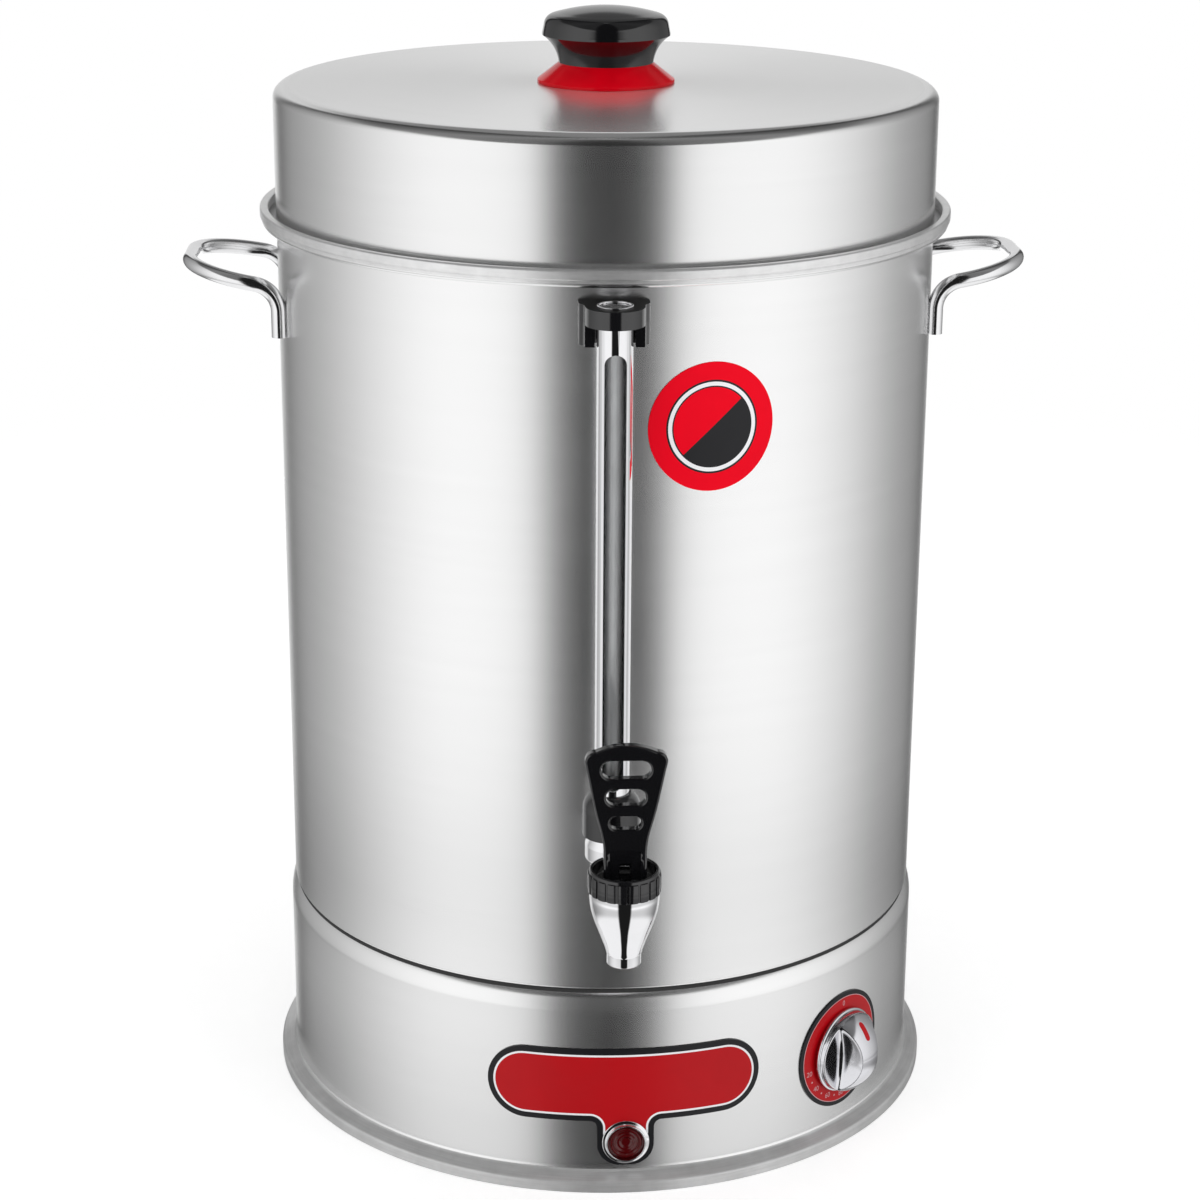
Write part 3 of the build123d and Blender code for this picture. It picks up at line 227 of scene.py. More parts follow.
def floor_material():
    material = bpy.data.materials.new("pale_floor")
    tree = cleared(material)
    place = object_place(tree)
    away = add(tree, "ShaderNodeVectorMath", {0: place}, operation="LENGTH").outputs["Value"]
    fade = between(tree, away, 0.0, 1.0, FLOOR_NEAR, FLOOR_FAR)
    colour = blend_colour(tree, noise(tree, place, 60.0, 4.0), grey(0.90), grey(0.94))
    lit = add(tree, "ShaderNodeBsdfDiffuse", {"Color": colour})
    seen = add(tree, "ShaderNodeLightPath").outputs["Is Camera Ray"]
    strength = maths(tree, "MULTIPLY", seen, FLOOR_GLOW)
    glow = add(tree, "ShaderNodeEmission", {"Color": grey(1.0), "Strength": strength})
    pale = add(tree, "ShaderNodeAddShader", {0: lit.outputs[0], 1: glow.outputs[0]})
    clear = add(tree, "ShaderNodeBsdfTransparent")
    mix = add(tree, "ShaderNodeMixShader", {0: fade, 1: pale.outputs[0], 2: clear.outputs[0]})
    add(tree, "ShaderNodeOutputMaterial", {"Surface": mix.outputs[0]})
    return material


def circle(radius, count=96):
    """Points round a circle, anticlockwise from the right."""
    turns = [math.tau * i / count for i in range(count)]
    return [Vector((math.cos(t), math.sin(t))) * radius for t in turns]


floor_mesh = bpy.data.meshes.new("floor")
floor_mesh.from_pydata([(p.x, p.y, 0.0) for p in circle(FLOOR_FAR)], [], [range(96)])
floor_mesh.materials.append(floor_material())
floor = linked("floor", floor_mesh)
floor.visible_glossy = False
print("floor radius", FLOOR_FAR)

# %% [markdown]
# The cards are one big sphere round the urn, which only reflections see. Its tone at each point comes
# from rules on the direction in which that point lies, kept as a colour attribute of its mesh, so that
# edges can be soft. Side is the angle from the front, and rise the angle above level, both in degrees.
# First the rules.

# %% Rules for the cards' tone
ROOM_TONES = [(0, 1.05), (54, 1.05), (63, 1.03), (74, 0.94), (85, 0.81), (97, 0.66), (112, 0.48), (130, 0.36),
              (144, 0.27), (148, 0.08), (155, 0.06), (159, 1.1), (180, 1.15)]
GROUND_LINES = [(22.5, 25.5, -0.30), (26.4, 27.4, 0.42), (28.4, 30.6, -0.46)]
BACK_TONE, LOW_TONE, CARD_TONE = 0.76, 1.0, 0.012
FRONT_SIDE, FRONT_HALF = -1.7, 17.7


def step_up(value, start, end):
    """0 below start, 1 above end, and a smooth run between them."""
    t = min(max((value - start) / (end - start), 0.0), 1.0)
    return t * t * (3 - 2 * t)


def room(side, rise):
    """The pale room: brightest beside the camera, darker round the sides, pale behind. Where the ground
    begins, it darkens, with a bright line before the dark one: what the wall's lower end mirrors."""
    low = next(i for i in range(len(ROOM_TONES) - 1) if side <= ROOM_TONES[i + 1][0])
    (a, start), (b, end) = ROOM_TONES[low], ROOM_TONES[low + 1]
    tone = start + (end - start) * (side - a) / (b - a)
    tone += (BACK_TONE - tone) * step_up(side, 156.0, 162.0) * step_up(rise, 0.0, 5.0)
    tone *= 1 + sum(change * step_up(-rise, first, last) for first, last, change in GROUND_LINES)
    return tone + (LOW_TONE - tone) * step_up(-rise, 36.0, 44.0)


def front_card(side):
    """How much the narrow dark card before the urn covers. It stands a little to the left."""
    return 1 - step_up(abs(side - FRONT_SIDE), FRONT_HALF, FRONT_HALF + 6.0)


def overhead_card(side, rise):
    """How much the dark ceiling covers: its edge is low straight ahead and behind, and rises to the sides."""
    low = 15.0 + 25.0 * step_up(side, 15.0, 95.0) - 13.0 * step_up(side, 150.0, 165.0)
    return (0.83 - 0.13 * step_up(side, 45.0, 100.0)) * step_up(rise, low, low + 5.0)


def tone_at(side, rise):
    """The tone in a direction; sides run from -180 to 180, and the right one is a little greyer far back."""
    clear = room(abs(side), rise) * (1 - overhead_card(abs(side), rise))
    clear *= 1 - 0.12 * step_up(side, 90.0, 120.0) * (1 - step_up(side, 150.0, 165.0))
    return clear + (CARD_TONE - clear) * front_card(side)


print("tones ahead, right, behind:", [round(tone_at(side, 0), 2) for side in (0, 90, 180)])

# %% [markdown]
# Then the sphere. One helper skins rows of points with faces, and comes back for the bonnet's ribs, the
# gauge's bracket, the printed plates and the thermostat's knob.

# %% Cards
MIDDLE = Vector((0, 0, 0.3))
CARD_R, CARD_STEP = 4.0, 2


def towards(side, rise):
    """The direction at an angle from the front and an angle above level."""
    a, e = math.radians(side), math.radians(rise)
    return Vector((math.cos(e) * math.sin(a), -math.cos(e) * math.cos(a), math.sin(e)))


def skinned(name, rows, scale=MM, ring=True, caps=True):
    """A mesh with faces between rows of points, each row a closed ring or not, and its ends capped or not."""
    wide = len(rows[0])
    points = [Vector(point) * scale for row in rows for point in row]
    faces = []
    for low in range(0, len(points) - wide, wide):
        for i in range(wide if ring else wide - 1):
            j = (i + 1) % wide
            faces.append((low + i, low + j, low + wide + j, low + wide + i))
    if caps:
        faces += [range(wide)[::-1], range(len(points) - wide, len(points))]
    mesh = bpy.data.meshes.new(name)
    mesh.from_pydata(points, [], faces)
    return mesh


def card_material():
    material = bpy.data.materials.new("card")
    tree = cleared(material)
    tone = add(tree, "ShaderNodeAttribute", attribute_name="tone").outputs["Color"]
    glow = add(tree, "ShaderNodeEmission", {"Color": tone, "Strength": 1.0})
    add(tree, "ShaderNodeOutputMaterial", {"Surface": glow.outputs[0]})
    return material


def build_cards():
    sides, rises = range(0, 360, CARD_STEP), range(-88, 90, CARD_STEP)
    rows = [[MIDDLE + towards(side, rise) * CARD_R for side in sides] for rise in rises]
    tones = [tone_at((side + 180) % 360 - 180, rise) for rise in rises for side in sides]
    mesh = skinned("cards", rows, scale=1.0, caps=False)
    colours = mesh.color_attributes.new("tone", "FLOAT_COLOR", "POINT")
    colours.data.foreach_set("color", [part for tone in tones for part in grey(tone)])
    mesh.materials.append(card_material())
    card = linked("cards", mesh)
    for ray in ("camera", "diffuse", "shadow", "transmission"):
        setattr(card, "visible_" + ray, False)
    return len(mesh.polygons)


print("card faces:", build_cards())

# %% [markdown]
# Two big soft lamps, left and right of the camera, light everything that isn't metal. The cards already
# say what the metal sees, so the lamps stay out of reflections.

# %% Lamps
LAMP_SIDE, LAMP_RISE, LAMP_AWAY = 50, 4, 2.4
LAMP_SIZE, LAMP_GLOW = (1.7, 3.0), 1.25


def soft_lamp(name, side):
    """An area lamp that looks at the urn's middle from one side."""
    data = bpy.data.lights.new(name, "AREA")
    data.shape = "RECTANGLE"
    data.size, data.size_y = LAMP_SIZE
    data.energy = LAMP_GLOW * math.pi * LAMP_SIZE[0] * LAMP_SIZE[1]
    lamp = linked(name, data)
    place = towards(side, LAMP_RISE) * LAMP_AWAY
    lamp.location = MIDDLE + place
    lamp.rotation_euler = place.to_track_quat("Z", "Y").to_euler()
    lamp.visible_glossy = False
    return lamp


print("lamps:", soft_lamp("lamp_left", -LAMP_SIDE).name, soft_lamp("lamp_right", LAMP_SIDE).name)

# %% [markdown]
# ## Shared effects
#
# Three effects come back in several finishes, so each is a node group with its own inputs. The first is
# the brushing of turned steel: fine lines that run round the axis. On a wall they are level, on the lid
# they are circles. Height minus radius changes along the section everywhere, on wall and lid alike, so
# noise that changes fast with that value, and hardly at all in any other direction, draws both.

# %% Brushing
def new_group(name, kind, inputs, outputs):
    """A node group's tree, with the sockets that its nodes read and write. An input is given as a name, a
    kind and a value, an output as a name and a kind."""
    tree = bpy.data.node_groups.new(name, kind)
    for socket, sort, value in inputs:
        made = tree.interface.new_socket(socket, in_out="INPUT", socket_type="NodeSocket" + sort)
        if value is not None:
            made.default_value = value
    for socket, sort in outputs:
        tree.interface.new_socket(socket, in_out="OUTPUT", socket_type="NodeSocket" + sort)
    return tree, tree.nodes.new("NodeGroupInput").outputs, tree.nodes.new("NodeGroupOutput").inputs


def shader_group(name, inputs, outputs):
    """A group of shader nodes with number sockets."""
    given = [(socket, "Float", value) for socket, value in inputs.items()]
    return new_group(name, "ShaderNodeTree", given, [(socket, "Float") for socket in outputs])


def build_brushing():
    """Streak: the fine lines. Band: wider, fainter rings from the lathe. Cloud: slow uneven patches."""
    inputs = {"Lines per metre": 2500.0, "Waver": 6.0, "Patches per metre": 9.0}
    tree, given, out = shader_group("Turned brushing", inputs, ["Streak", "Band", "Cloud"])
    place = object_place(tree)
    x, y, z = add(tree, "ShaderNodeSeparateXYZ", {0: place}).outputs
    squares = maths(tree, "ADD", maths(tree, "MULTIPLY", x, x), maths(tree, "MULTIPLY", y, y))
    along = maths(tree, "SUBTRACT", z, maths(tree, "SQRT", squares))
    round_x, round_y = [maths(tree, "MULTIPLY", value, given["Waver"]) for value in (x, y)]
    for socket, share, detail in (("Streak", 1.0, 3.0), ("Band", 0.06, 1.0)):
        rate = maths(tree, "MULTIPLY", given["Lines per metre"], share)
        parts = {0: round_x, 1: round_y, 2: maths(tree, "MULTIPLY", along, rate)}
        vector = add(tree, "ShaderNodeCombineXYZ", parts).outputs[0]
        tree.links.new(noise(tree, vector, 1.0, detail), out[socket])
    tree.links.new(noise(tree, place, given["Patches per metre"], 3.0, Roughness=0.6), out["Cloud"])
    return tree


BRUSHING = build_brushing()
print("shared effect:", BRUSHING.name)

# %% [markdown]
# The second is handling: faint smears and a few fine scratches, which dull a polished surface here and
# there. The third is the skin of moulded plastic, a very fine even grain.

# %% Handling marks and moulded skin
def build_handling():
    inputs = {"Smear scale": 40.0, "Scratch scale": 900.0}
    tree, given, out = shader_group("Handling marks", inputs, ["Smear", "Scratch"])
    place = object_place(tree)
    smear = noise(tree, place, given["Smear scale"], 5.0, Roughness=0.65, Distortion=0.6)
    tree.links.new(between(tree, smear, 0.0, 1.0, 0.45, 0.75), out["Smear"])
    lean = {"Vector": place, "Rotation": (0.4, 0.7, 0.3), "Scale": (0.06, 1.0, 1.0)}
    leaning = add(tree, "ShaderNodeMapping", lean).outputs[0]
    scratch = noise(tree, leaning, given["Scratch scale"], 2.0)
    tree.links.new(between(tree, scratch, 0.0, 1.0, 0.68, 0.78), out["Scratch"])
    return tree


def build_moulded_skin():
    tree, given, out = shader_group("Moulded skin", {"Grain scale": 3000.0}, ["Grain", "Flow"])
    place = object_place(tree)
    tree.links.new(noise(tree, place, given["Grain scale"], 2.0), out["Grain"])
    tree.links.new(noise(tree, place, 55.0, 2.0), out["Flow"])
    return tree


HANDLING, MOULDED = build_handling(), build_moulded_skin()
print("shared effects:", HANDLING.name, "and", MOULDED.name)

# %% [markdown]
# ## Finishes
#
# Each finish is one material. A helper starts it with a Principled surface; constants such as metallic or
# anisotropy are set on its own sockets, and the effects above feed colour, roughness and bump. In the
# helpers' keywords an underscore stands for the space in a socket's name.

# %% Material helpers
def spaced(sockets):
    return {name.replace("_", " "): value for name, value in sockets.items()}


def new_material(name, **constants):
    """A material with a Principled surface, and its tree."""
    material = bpy.data.materials.new(name)
    tree = cleared(material)
    surface = add(tree, "ShaderNodeBsdfPrincipled", spaced(constants))
    add(tree, "ShaderNodeOutputMaterial", {"Surface": surface.outputs[0]})
    return material, tree, surface


def use_group(tree, group, **inputs):
    """The results of a shared effect."""
    return add(tree, "ShaderNodeGroup", spaced(inputs), node_tree=group).outputs


def feed(tree, surface, **results):
    for socket, result in spaced(results).items():
        tree.links.new(result, surface.inputs[socket])


def raise_by(tree, surface, height, distance):
    """A bump under the surface's normal, its full height given in millimetres."""
    bump = add(tree, "ShaderNodeBump", {"Height": height, "Distance": distance * MM, "Strength": 0.4})
    feed(tree, surface, Normal=bump.outputs["Normal"])


# %% [markdown]
# The steel spreads its highlights round the wall more than up it, so dark and bright upright bands melt
# into each other while the line along the lid's corner stays thin. A Tangent node that runs round Z gives
# that direction. Buffed and dull places, such as the lip and the foot, are less metallic and more patchy.

# %% Steel
PATCHY = 0.3


def turned_steel(name, tone, roughness, anisotropy, lines=2500.0, wear=1.0, metal=1.0, waver=6.0,
                 patches=9.0):
    """Sheet steel with faint lines that run round the axis; wear makes them and its patches stronger."""
    material, tree, surface = new_material(name, Metallic=metal, Anisotropic=anisotropy)
    brush = use_group(tree, BRUSHING, Lines_per_metre=lines, Waver=waver, Patches_per_metre=patches)
    fine = maths(tree, "MULTIPLY", maths(tree, "ADD", brush["Streak"], brush["Band"]), (1 - PATCHY) / 2)
    shade = between(tree, maths(tree, "MULTIPLY_ADD", brush["Cloud"], PATCHY, fine), 0.0, 1.0, 0.3, 0.7)
    colour = blend_colour(tree, shade, grey(tone - 0.02 * wear), grey(tone + 0.012 * wear))
    in_lines = between(tree, brush["Streak"], -0.012, 0.012, 0.25, 0.75)
    in_patches = between(tree, brush["Cloud"], roughness - 0.008, roughness + 0.012, 0.3, 0.7)
    tangent = add(tree, "ShaderNodeTangent", direction_type="RADIAL", axis="Z").outputs[0]
    rough = maths(tree, "ADD", in_lines, in_patches)
    feed(tree, surface, Base_Color=colour, Roughness=rough, Tangent=tangent)
    raise_by(tree, surface, brush["Streak"], 0.001 * wear)
    return material


STEEL_WALL = turned_steel("brushed_steel_wall", 0.93, 0.227, 0.73)
STEEL_LID = turned_steel("brushed_steel_lid", 0.885, 0.203, 0.70)
STEEL_TOP = turned_steel("brushed_steel_top", 0.88, 0.22, 0.65, metal=0.80)
STEEL_INSIDE = turned_steel("drawn_steel_inside", 0.82, 0.34, 0.3, 1500.0, metal=0.5)
STEEL_LIP = turned_steel("buffed_steel_lip", 0.80, 0.32, 0.0, 900.0, 5.0, 0.78, 90.0, 300.0)
STEEL_GUTTER = turned_steel("dull_steel_gutter", 0.90, 0.5, 0.0, 900.0, 3.0, 0.1, patches=120.0)
STEEL_FOOT = turned_steel("buffed_steel_foot", 0.60, 0.34, 0.0, 900.0, 6.0, 0.5, 40.0, 120.0)
print("steels:", len([m for m in bpy.data.materials if "steel" in m.name]))

# %% [markdown]
# Plated and polished metal is smooth all over. Only its handling marks tell it from a perfect mirror.

# %% Plated metal
def plated(name, tone, roughness, smear):
    """Polished or plated metal with faint handling marks."""
    material, tree, surface = new_material(name, Metallic=1.0)
    marks = use_group(tree, HANDLING)
    dull = maths(tree, "MULTIPLY_ADD", marks["Smear"], smear, roughness)
    rough = maths(tree, "MULTIPLY_ADD", marks["Scratch"], 0.05, dull)
    colour = blend_colour(tree, marks["Smear"], rgba(tone), rgba(tone, 0.97))
    feed(tree, surface, Base_Color=colour, Roughness=rough)
    return material


SATIN_INSIDE = plated("satin_inside", (0.66, 0.66, 0.67), 0.34, 0.1)
SATIN_CHROME = plated("satin_chrome", (0.72, 0.72, 0.75), 0.11, 0.06)
POLISHED = plated("polished_steel", (0.86, 0.86, 0.87), 0.12, 0.06)
CHROME = plated("chrome", (0.86, 0.86, 0.875), 0.035, 0.04)
ZINC = plated("zinc_plate", (0.66, 0.67, 0.70), 0.33, 0.15)
print("chrome reflects", CHROME.name)

# %% [markdown]
# Most of the plastics are dark and glossy, and show mostly highlights, so their grain is kept very fine.
# Rubber and silicone are matte. The printed foils have a clear film on top.

# %% Plastics, rubber, print and glass
def moulded(name, colour, roughness, grain_height=0.003, **constants):
    """Moulded plastic or rubber: a near-even colour, with a fine skin."""
    material, tree, surface = new_material(name, **constants)
    skin = use_group(tree, MOULDED)
    flow = between(tree, skin["Flow"], 0.0, 1.0, 0.3, 0.7)
    tint = blend_colour(tree, flow, rgba(colour, 0.82), rgba(colour))
    rough = between(tree, skin["Grain"], roughness - 0.03, roughness + 0.03, 0.3, 0.7)
    feed(tree, surface, Base_Color=tint, Roughness=rough)
    raise_by(tree, surface, skin["Grain"], grain_height)
    return material


def printed(name, colour, roughness=0.3, shine=0.22):
    """Ink on a foil under a thin clear film."""
    material, tree, surface = new_material(name, Specular_IOR_Level=shine)
    smear = use_group(tree, HANDLING, Smear_scale=25.0)["Smear"]
    ink = blend_colour(tree, smear, rgba(colour), rgba(colour, 0.92))
    feed(tree, surface, Base_Color=ink, Roughness=maths(tree, "MULTIPLY_ADD", smear, 0.08, roughness))
    return material


def clear_glass():
    tint = rgba((0.96, 0.965, 0.965))
    material, tree, surface = new_material("gauge_glass", Transmission_Weight=1.0, IOR=1.47, Base_Color=tint)
    smear = use_group(tree, HANDLING, Smear_scale=60.0)["Smear"]
    feed(tree, surface, Roughness=maths(tree, "MULTIPLY", smear, 0.05))
    return material


BLACK = moulded("black_plastic", (0.006, 0.006, 0.007), 0.10, 0.001, Specular_IOR_Level=0.85)
BLACK_MATT = moulded("black_matt_plastic", (0.008, 0.008, 0.008), 0.5, 0.006, Specular_IOR_Level=0.25)
BLACK_SATIN = moulded("black_satin_plastic", (0.022, 0.022, 0.023), 0.36, 0.006)
RED = moulded("red_plastic", (0.76, 0.001, 0.010), 0.12, 0.001, Specular_IOR_Level=0.14)
RUBBER = moulded("black_rubber", (0.025, 0.025, 0.025), 0.7, 0.02)
SILICONE = moulded("silicone", (0.72, 0.70, 0.66), 0.5, 0.01, Subsurface_Weight=0.2)
GREY_PLASTIC = moulded("grey_plastic", (0.30, 0.30, 0.31), 0.45)
WHITE_PLASTIC = moulded("white_plastic", (0.74, 0.74, 0.71), 0.4)
LENS_RED = moulded("lamp_lens", (0.075, 0.002, 0.003), 0.08, 0.0)
PRINT_RED = printed("print_red", (0.46, 0.002, 0.006))
LABEL_RED = printed("label_red", (0.83, 0.001, 0.014), 0.4, 0.05)
PRINT_BLACK = printed("print_black", (0.012, 0.012, 0.014))
PRINT_WHITE = printed("print_white", (0.86, 0.86, 0.88))
PRINT_PALE = printed("print_pale", (0.58, 0.33, 0.35))
GLASS = clear_glass()
print("finishes:", len([m for m in bpy.data.materials if m.use_nodes]))

# %% [markdown]
# ## Making meshes
#
# Round pieces share one way of making: a closed section, drawn as radius and height, is turned about the
# axis. The section's corners are arcs. Long straight runs get two extra points close to their ends,
# because a smooth normal that is shared with a small corner would otherwise spread over the whole run and
# bend the reflections.

# %% Section helpers
GUARD_GAP = 0.35


def rounded(corners, steps=8):
    """The points of a closed path through corners. A corner's third number is the radius of its arc."""
    points = []
    for i, (x, y, *radius) in enumerate(corners):
        here = Vector((x, y))
        if not radius:
            points.append(here)
            continue
        to_last = (Vector(corners[i - 1][:2]) - here).normalized()
        to_next = (Vector(corners[(i + 1) % len(corners)][:2]) - here).normalized()
        half = to_last.angle(to_next) / 2
        centre = here + (to_last + to_next).normalized() * radius[0] / math.sin(half)
        first = here + to_last * radius[0] / math.tan(half) - centre
        last = here + to_next * radius[0] / math.tan(half) - centre
        sweep = first.angle_signed(last)
        points += [centre + Matrix.Rotation(-sweep * k / steps, 2) @ first for k in range(steps + 1)]
    return points


def guarded(points):
    """The same closed path with two points added close to the ends of each long run."""
    out = []
    for a, b in zip(points, points[1:] + points[:1]):
        out.append(a)
        run = b - a
        if run.length > 8 * GUARD_GAP:
            out += [a + run.normalized() * GUARD_GAP, b - run.normalized() * GUARD_GAP]
    return out


def arc(centre, radius, start, end, steps):
    """Points on an arc between two angles in degrees."""
    angles = [math.radians(start + (end - start) * k / steps) for k in range(steps + 1)]
    return [Vector(centre) + Vector((math.cos(t), math.sin(t))) * radius for t in angles]


# %% [markdown]
# Some sections have an arc through three points, a shallow dome that ends on the axis, or a free curve
# through a few points, as a spout has. These helpers give their points. The last one makes a round corner
# oval.

# %% Curves for sections
def through(first, middle, last, steps=12):
    """Points on the arc through three points."""
    a, b, c = Vector(first), Vector(middle), Vector(last)
    d = 2 * (a.x * (b.y - c.y) + b.x * (c.y - a.y) + c.x * (a.y - b.y))
    squares = a.length_squared, b.length_squared, c.length_squared
    x = (squares[0] * (b.y - c.y) + squares[1] * (c.y - a.y) + squares[2] * (a.y - b.y)) / d
    y = (squares[0] * (c.x - b.x) + squares[1] * (a.x - c.x) + squares[2] * (b.x - a.x)) / d
    start, end = [math.atan2(p.y - y, p.x - x) for p in (a, c)]
    if abs(end - start) > math.pi:
        end += math.copysign(math.tau, start - end)
    radius = math.hypot(a.x - x, a.y - y)
    return arc((x, y), radius, math.degrees(start), math.degrees(end), steps)


def dome(edge_r, edge_z, top_z, steps=14):
    """Points from a dome's edge to its top on the axis."""
    rise = top_z - edge_z
    radius = (edge_r ** 2 + rise ** 2) / (2 * rise)
    edge_angle = math.degrees(math.acos(edge_r / radius))
    return arc((0, top_z - radius), radius, edge_angle, 90, steps)


def flowing(points, start, end, steps=8):
    """A smooth run through points that leaves and arrives in the given directions."""
    points = [Vector(p) for p in points]
    slopes = [(after - before) / 2 for before, after in zip(points, points[2:])]
    slopes.insert(0, Vector(start).normalized() * (points[1] - points[0]).length)
    slopes.append(Vector(end).normalized() * (points[-1] - points[-2]).length)
    out = []
    for i in range(len(points) - 1):
        for t in [k / steps for k in range(steps)]:
            late = 3 * t ** 2 - 2 * t ** 3
            bent = slopes[i] * (t ** 3 - 2 * t ** 2 + t) + slopes[i + 1] * (t ** 3 - t ** 2)
            out.append(points[i] * (1 - late) + points[i + 1] * late + bent)
    return out + [points[-1]]


def oval(points, top, radius, height, slack=0.0):
    """A round corner under the top made oval: its points' depths are scaled from its radius to a height.
    With some slack, the point where the corner ends is moved too."""
    for point in points:
        below = top - point.y
        if 0 < below < radius + slack:
            point.y = top - below * height / radius
    return points


# %% [markdown]
# The turning itself is a Geometry Nodes tree: the section becomes a curve, and Curve to Mesh sweeps it
# along a tiny circle on the axis. The section is first moved in by that circle's radius, so each point
# ends at its own distance from the axis. Edges sharper than an angle stay sharp. The modifier's result is
# made a plain mesh and the modifier goes away.

# %% The turning tree
AXIS_CIRCLE = 0.5 * MM
MERGE_WITHIN = 0.002 * MM


def geometry_group(name, inputs):
    """A geometry tree whose result is painted, and sharp where its edges bend more than an angle."""
    common = [("Sharp angle", "Float", math.radians(28)), ("Finish", "Material", None)]
    inputs = [("Geometry", "Geometry", None), *inputs, *common]
    return new_group(name, "GeometryNodeTree", inputs, [("Geometry", "Geometry")])


def sharpen_and_paint(tree, mesh, given, out):
    """The common end of the trees: realised, smooth but for its sharp edges, and painted."""
    smooth = add(tree, "GeometryNodeRealizeInstances", {"Geometry": mesh}).outputs[0]
    angle = add(tree, "GeometryNodeInputMeshEdgeAngle").outputs["Unsigned Angle"]
    limits = {0: angle, 1: given["Sharp angle"]}
    soft = add(tree, "FunctionNodeCompare", limits, operation="LESS_THAN").outputs[0]
    for domain, which in (("FACE", True), ("EDGE", soft)):
        inputs = {"Geometry": smooth, "Shade Smooth": which}
        smooth = add(tree, "GeometryNodeSetShadeSmooth", inputs, domain=domain).outputs[0]
    paint = add(tree, "GeometryNodeSetMaterial", {"Geometry": smooth, "Material": given["Finish"]})
    tree.links.new(paint.outputs[0], out[0])


def build_turning_tree():
    tree, given, out = geometry_group("Turn a section", [("Segments", "Int", 192)])
    shift = {"Geometry": given["Geometry"], "Translation": (-AXIS_CIRCLE, 0, 0), "Scale": (1, -1, 1)}
    shifted = add(tree, "GeometryNodeTransform", shift).outputs[0]
    section = add(tree, "GeometryNodeMeshToCurve", {"Mesh": shifted}).outputs[0]
    round_axis = {"Resolution": given["Segments"], "Radius": AXIS_CIRCLE}
    path = add(tree, "GeometryNodeCurvePrimitiveCircle", round_axis).outputs[0]
    swept = add(tree, "GeometryNodeCurveToMesh", {"Curve": path, "Profile Curve": section}).outputs[0]
    joined = add(tree, "GeometryNodeMergeByDistance", {"Geometry": swept, "Distance": MERGE_WITHIN})
    sharpen_and_paint(tree, joined.outputs[0], given, out)
    return tree


TURNING = build_turning_tree()
print("tree:", TURNING.name, "with", len(TURNING.nodes), "nodes")

# %% [markdown]
# A starting mesh is grown by a tree and then has plain data. Closed meshes are made to face outward,
# whichever way their section was drawn. A short helper opens a mesh for such editing and writes it back.

# %% Grown and turned pieces
def evaluated(thing):
    """An object's mesh with its modifiers applied; the modifiers go away."""
    result = bpy.data.meshes.new_from_object(thing.evaluated_get(bpy.context.evaluated_depsgraph_get()))
    thing.modifiers.clear()
    thing.data = result
    return thing


def grown(name, tree, mesh, **inputs):
    """The plain mesh that a tree makes from a starting mesh, as an object that faces outward."""
    seed = linked(name, mesh)
    modifier = seed.modifiers.new("grow", "NODES")
    modifier.node_group = tree
    ids = {s.name: s.identifier for s in tree.interface.items_tree if s.in_out == "INPUT"}
    for socket, value in spaced(inputs).items():
        modifier[ids[socket]] = value
    evaluated(seed).data.name = name
    outward(seed.data)
    return seed


@contextmanager
def editing(mesh):
    """The mesh opened for editing, and written back when the block ends."""
    shell = bmesh.new()
    shell.from_mesh(mesh)
    yield shell
    shell.to_mesh(mesh)
    shell.free()


def outward(mesh):
    """All faces of a closed mesh turned to point outward."""
    with editing(mesh) as shell:
        bmesh.ops.recalc_face_normals(shell, faces=shell.faces)
    return mesh


def turned(name, section, finish, place=Matrix(), segments=192, sharp=28):
    """A closed section of radius and height points turned about Z, then put in its place."""
    points = guarded(section)
    edges = [(i, (i + 1) % len(points)) for i in range(len(points))]
    mesh = bpy.data.meshes.new(name)
    mesh.from_pydata([(p.x * MM, p.y * MM, 0.0) for p in points], edges, [])
    piece = grown(name, TURNING, mesh, Segments=segments, Sharp_angle=math.radians(sharp), Finish=finish)
    piece.data.transform(place)
    return piece


# %% [markdown]
# Every piece ends the same way: it rides on a body of the frame, and stands for the frame's node where it
# replaces one. A place on the wall is a matrix, made once for each panel.

# %% Fitting helpers
def fit(piece, body, slot, *nodes):
    """The last step for a piece: body, the nodes that it stands for, and a slot, which is not used."""
    if nodes:
        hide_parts(*nodes)
    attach(piece, body)
    print(f"{piece.name}: {len(piece.data.polygons)} faces, rides on {body}")
    return piece


def second_finish(piece, finish, where):
    """Faces that pass a test on their centre, in millimetres, and on their normal get another finish."""
    piece.data.materials.append(finish)
    last = len(piece.data.materials) - 1
    for face in piece.data.polygons:
        if where(face.center / MM, face.normal):
            face.material_index = last
    return piece


def from_axis(point):
    return math.hypot(point.x, point.y)


def upright(x, y, z=0.0):
    return Matrix.Translation(Vector((x, y, z)) * MM)


def facing(azimuth, distance, z):
    """A place on the wall: its x runs to the right, its y upward and its z outward."""
    return spin(azimuth, "Z") @ upright(0, -distance, z) @ spin(90, "X")


# %% [markdown]
# ## The vessel
#
# One deep-drawn steel pot. Its wall ends in a step outward, the gutter that the lid stands in, and a lip
# whose edge is folded into a hem, a small ledge seen from above. It is turned in one piece, with the
# wall's inside as well, because the lid lifts. Its inside, its buffed lip and its dull gutter then get
# finishes of their own.

# %% Vessel
HEM_H, HEM_W = 5.2, 4.6
HEM_INNER = RIM_R + SHEET - HEM_W


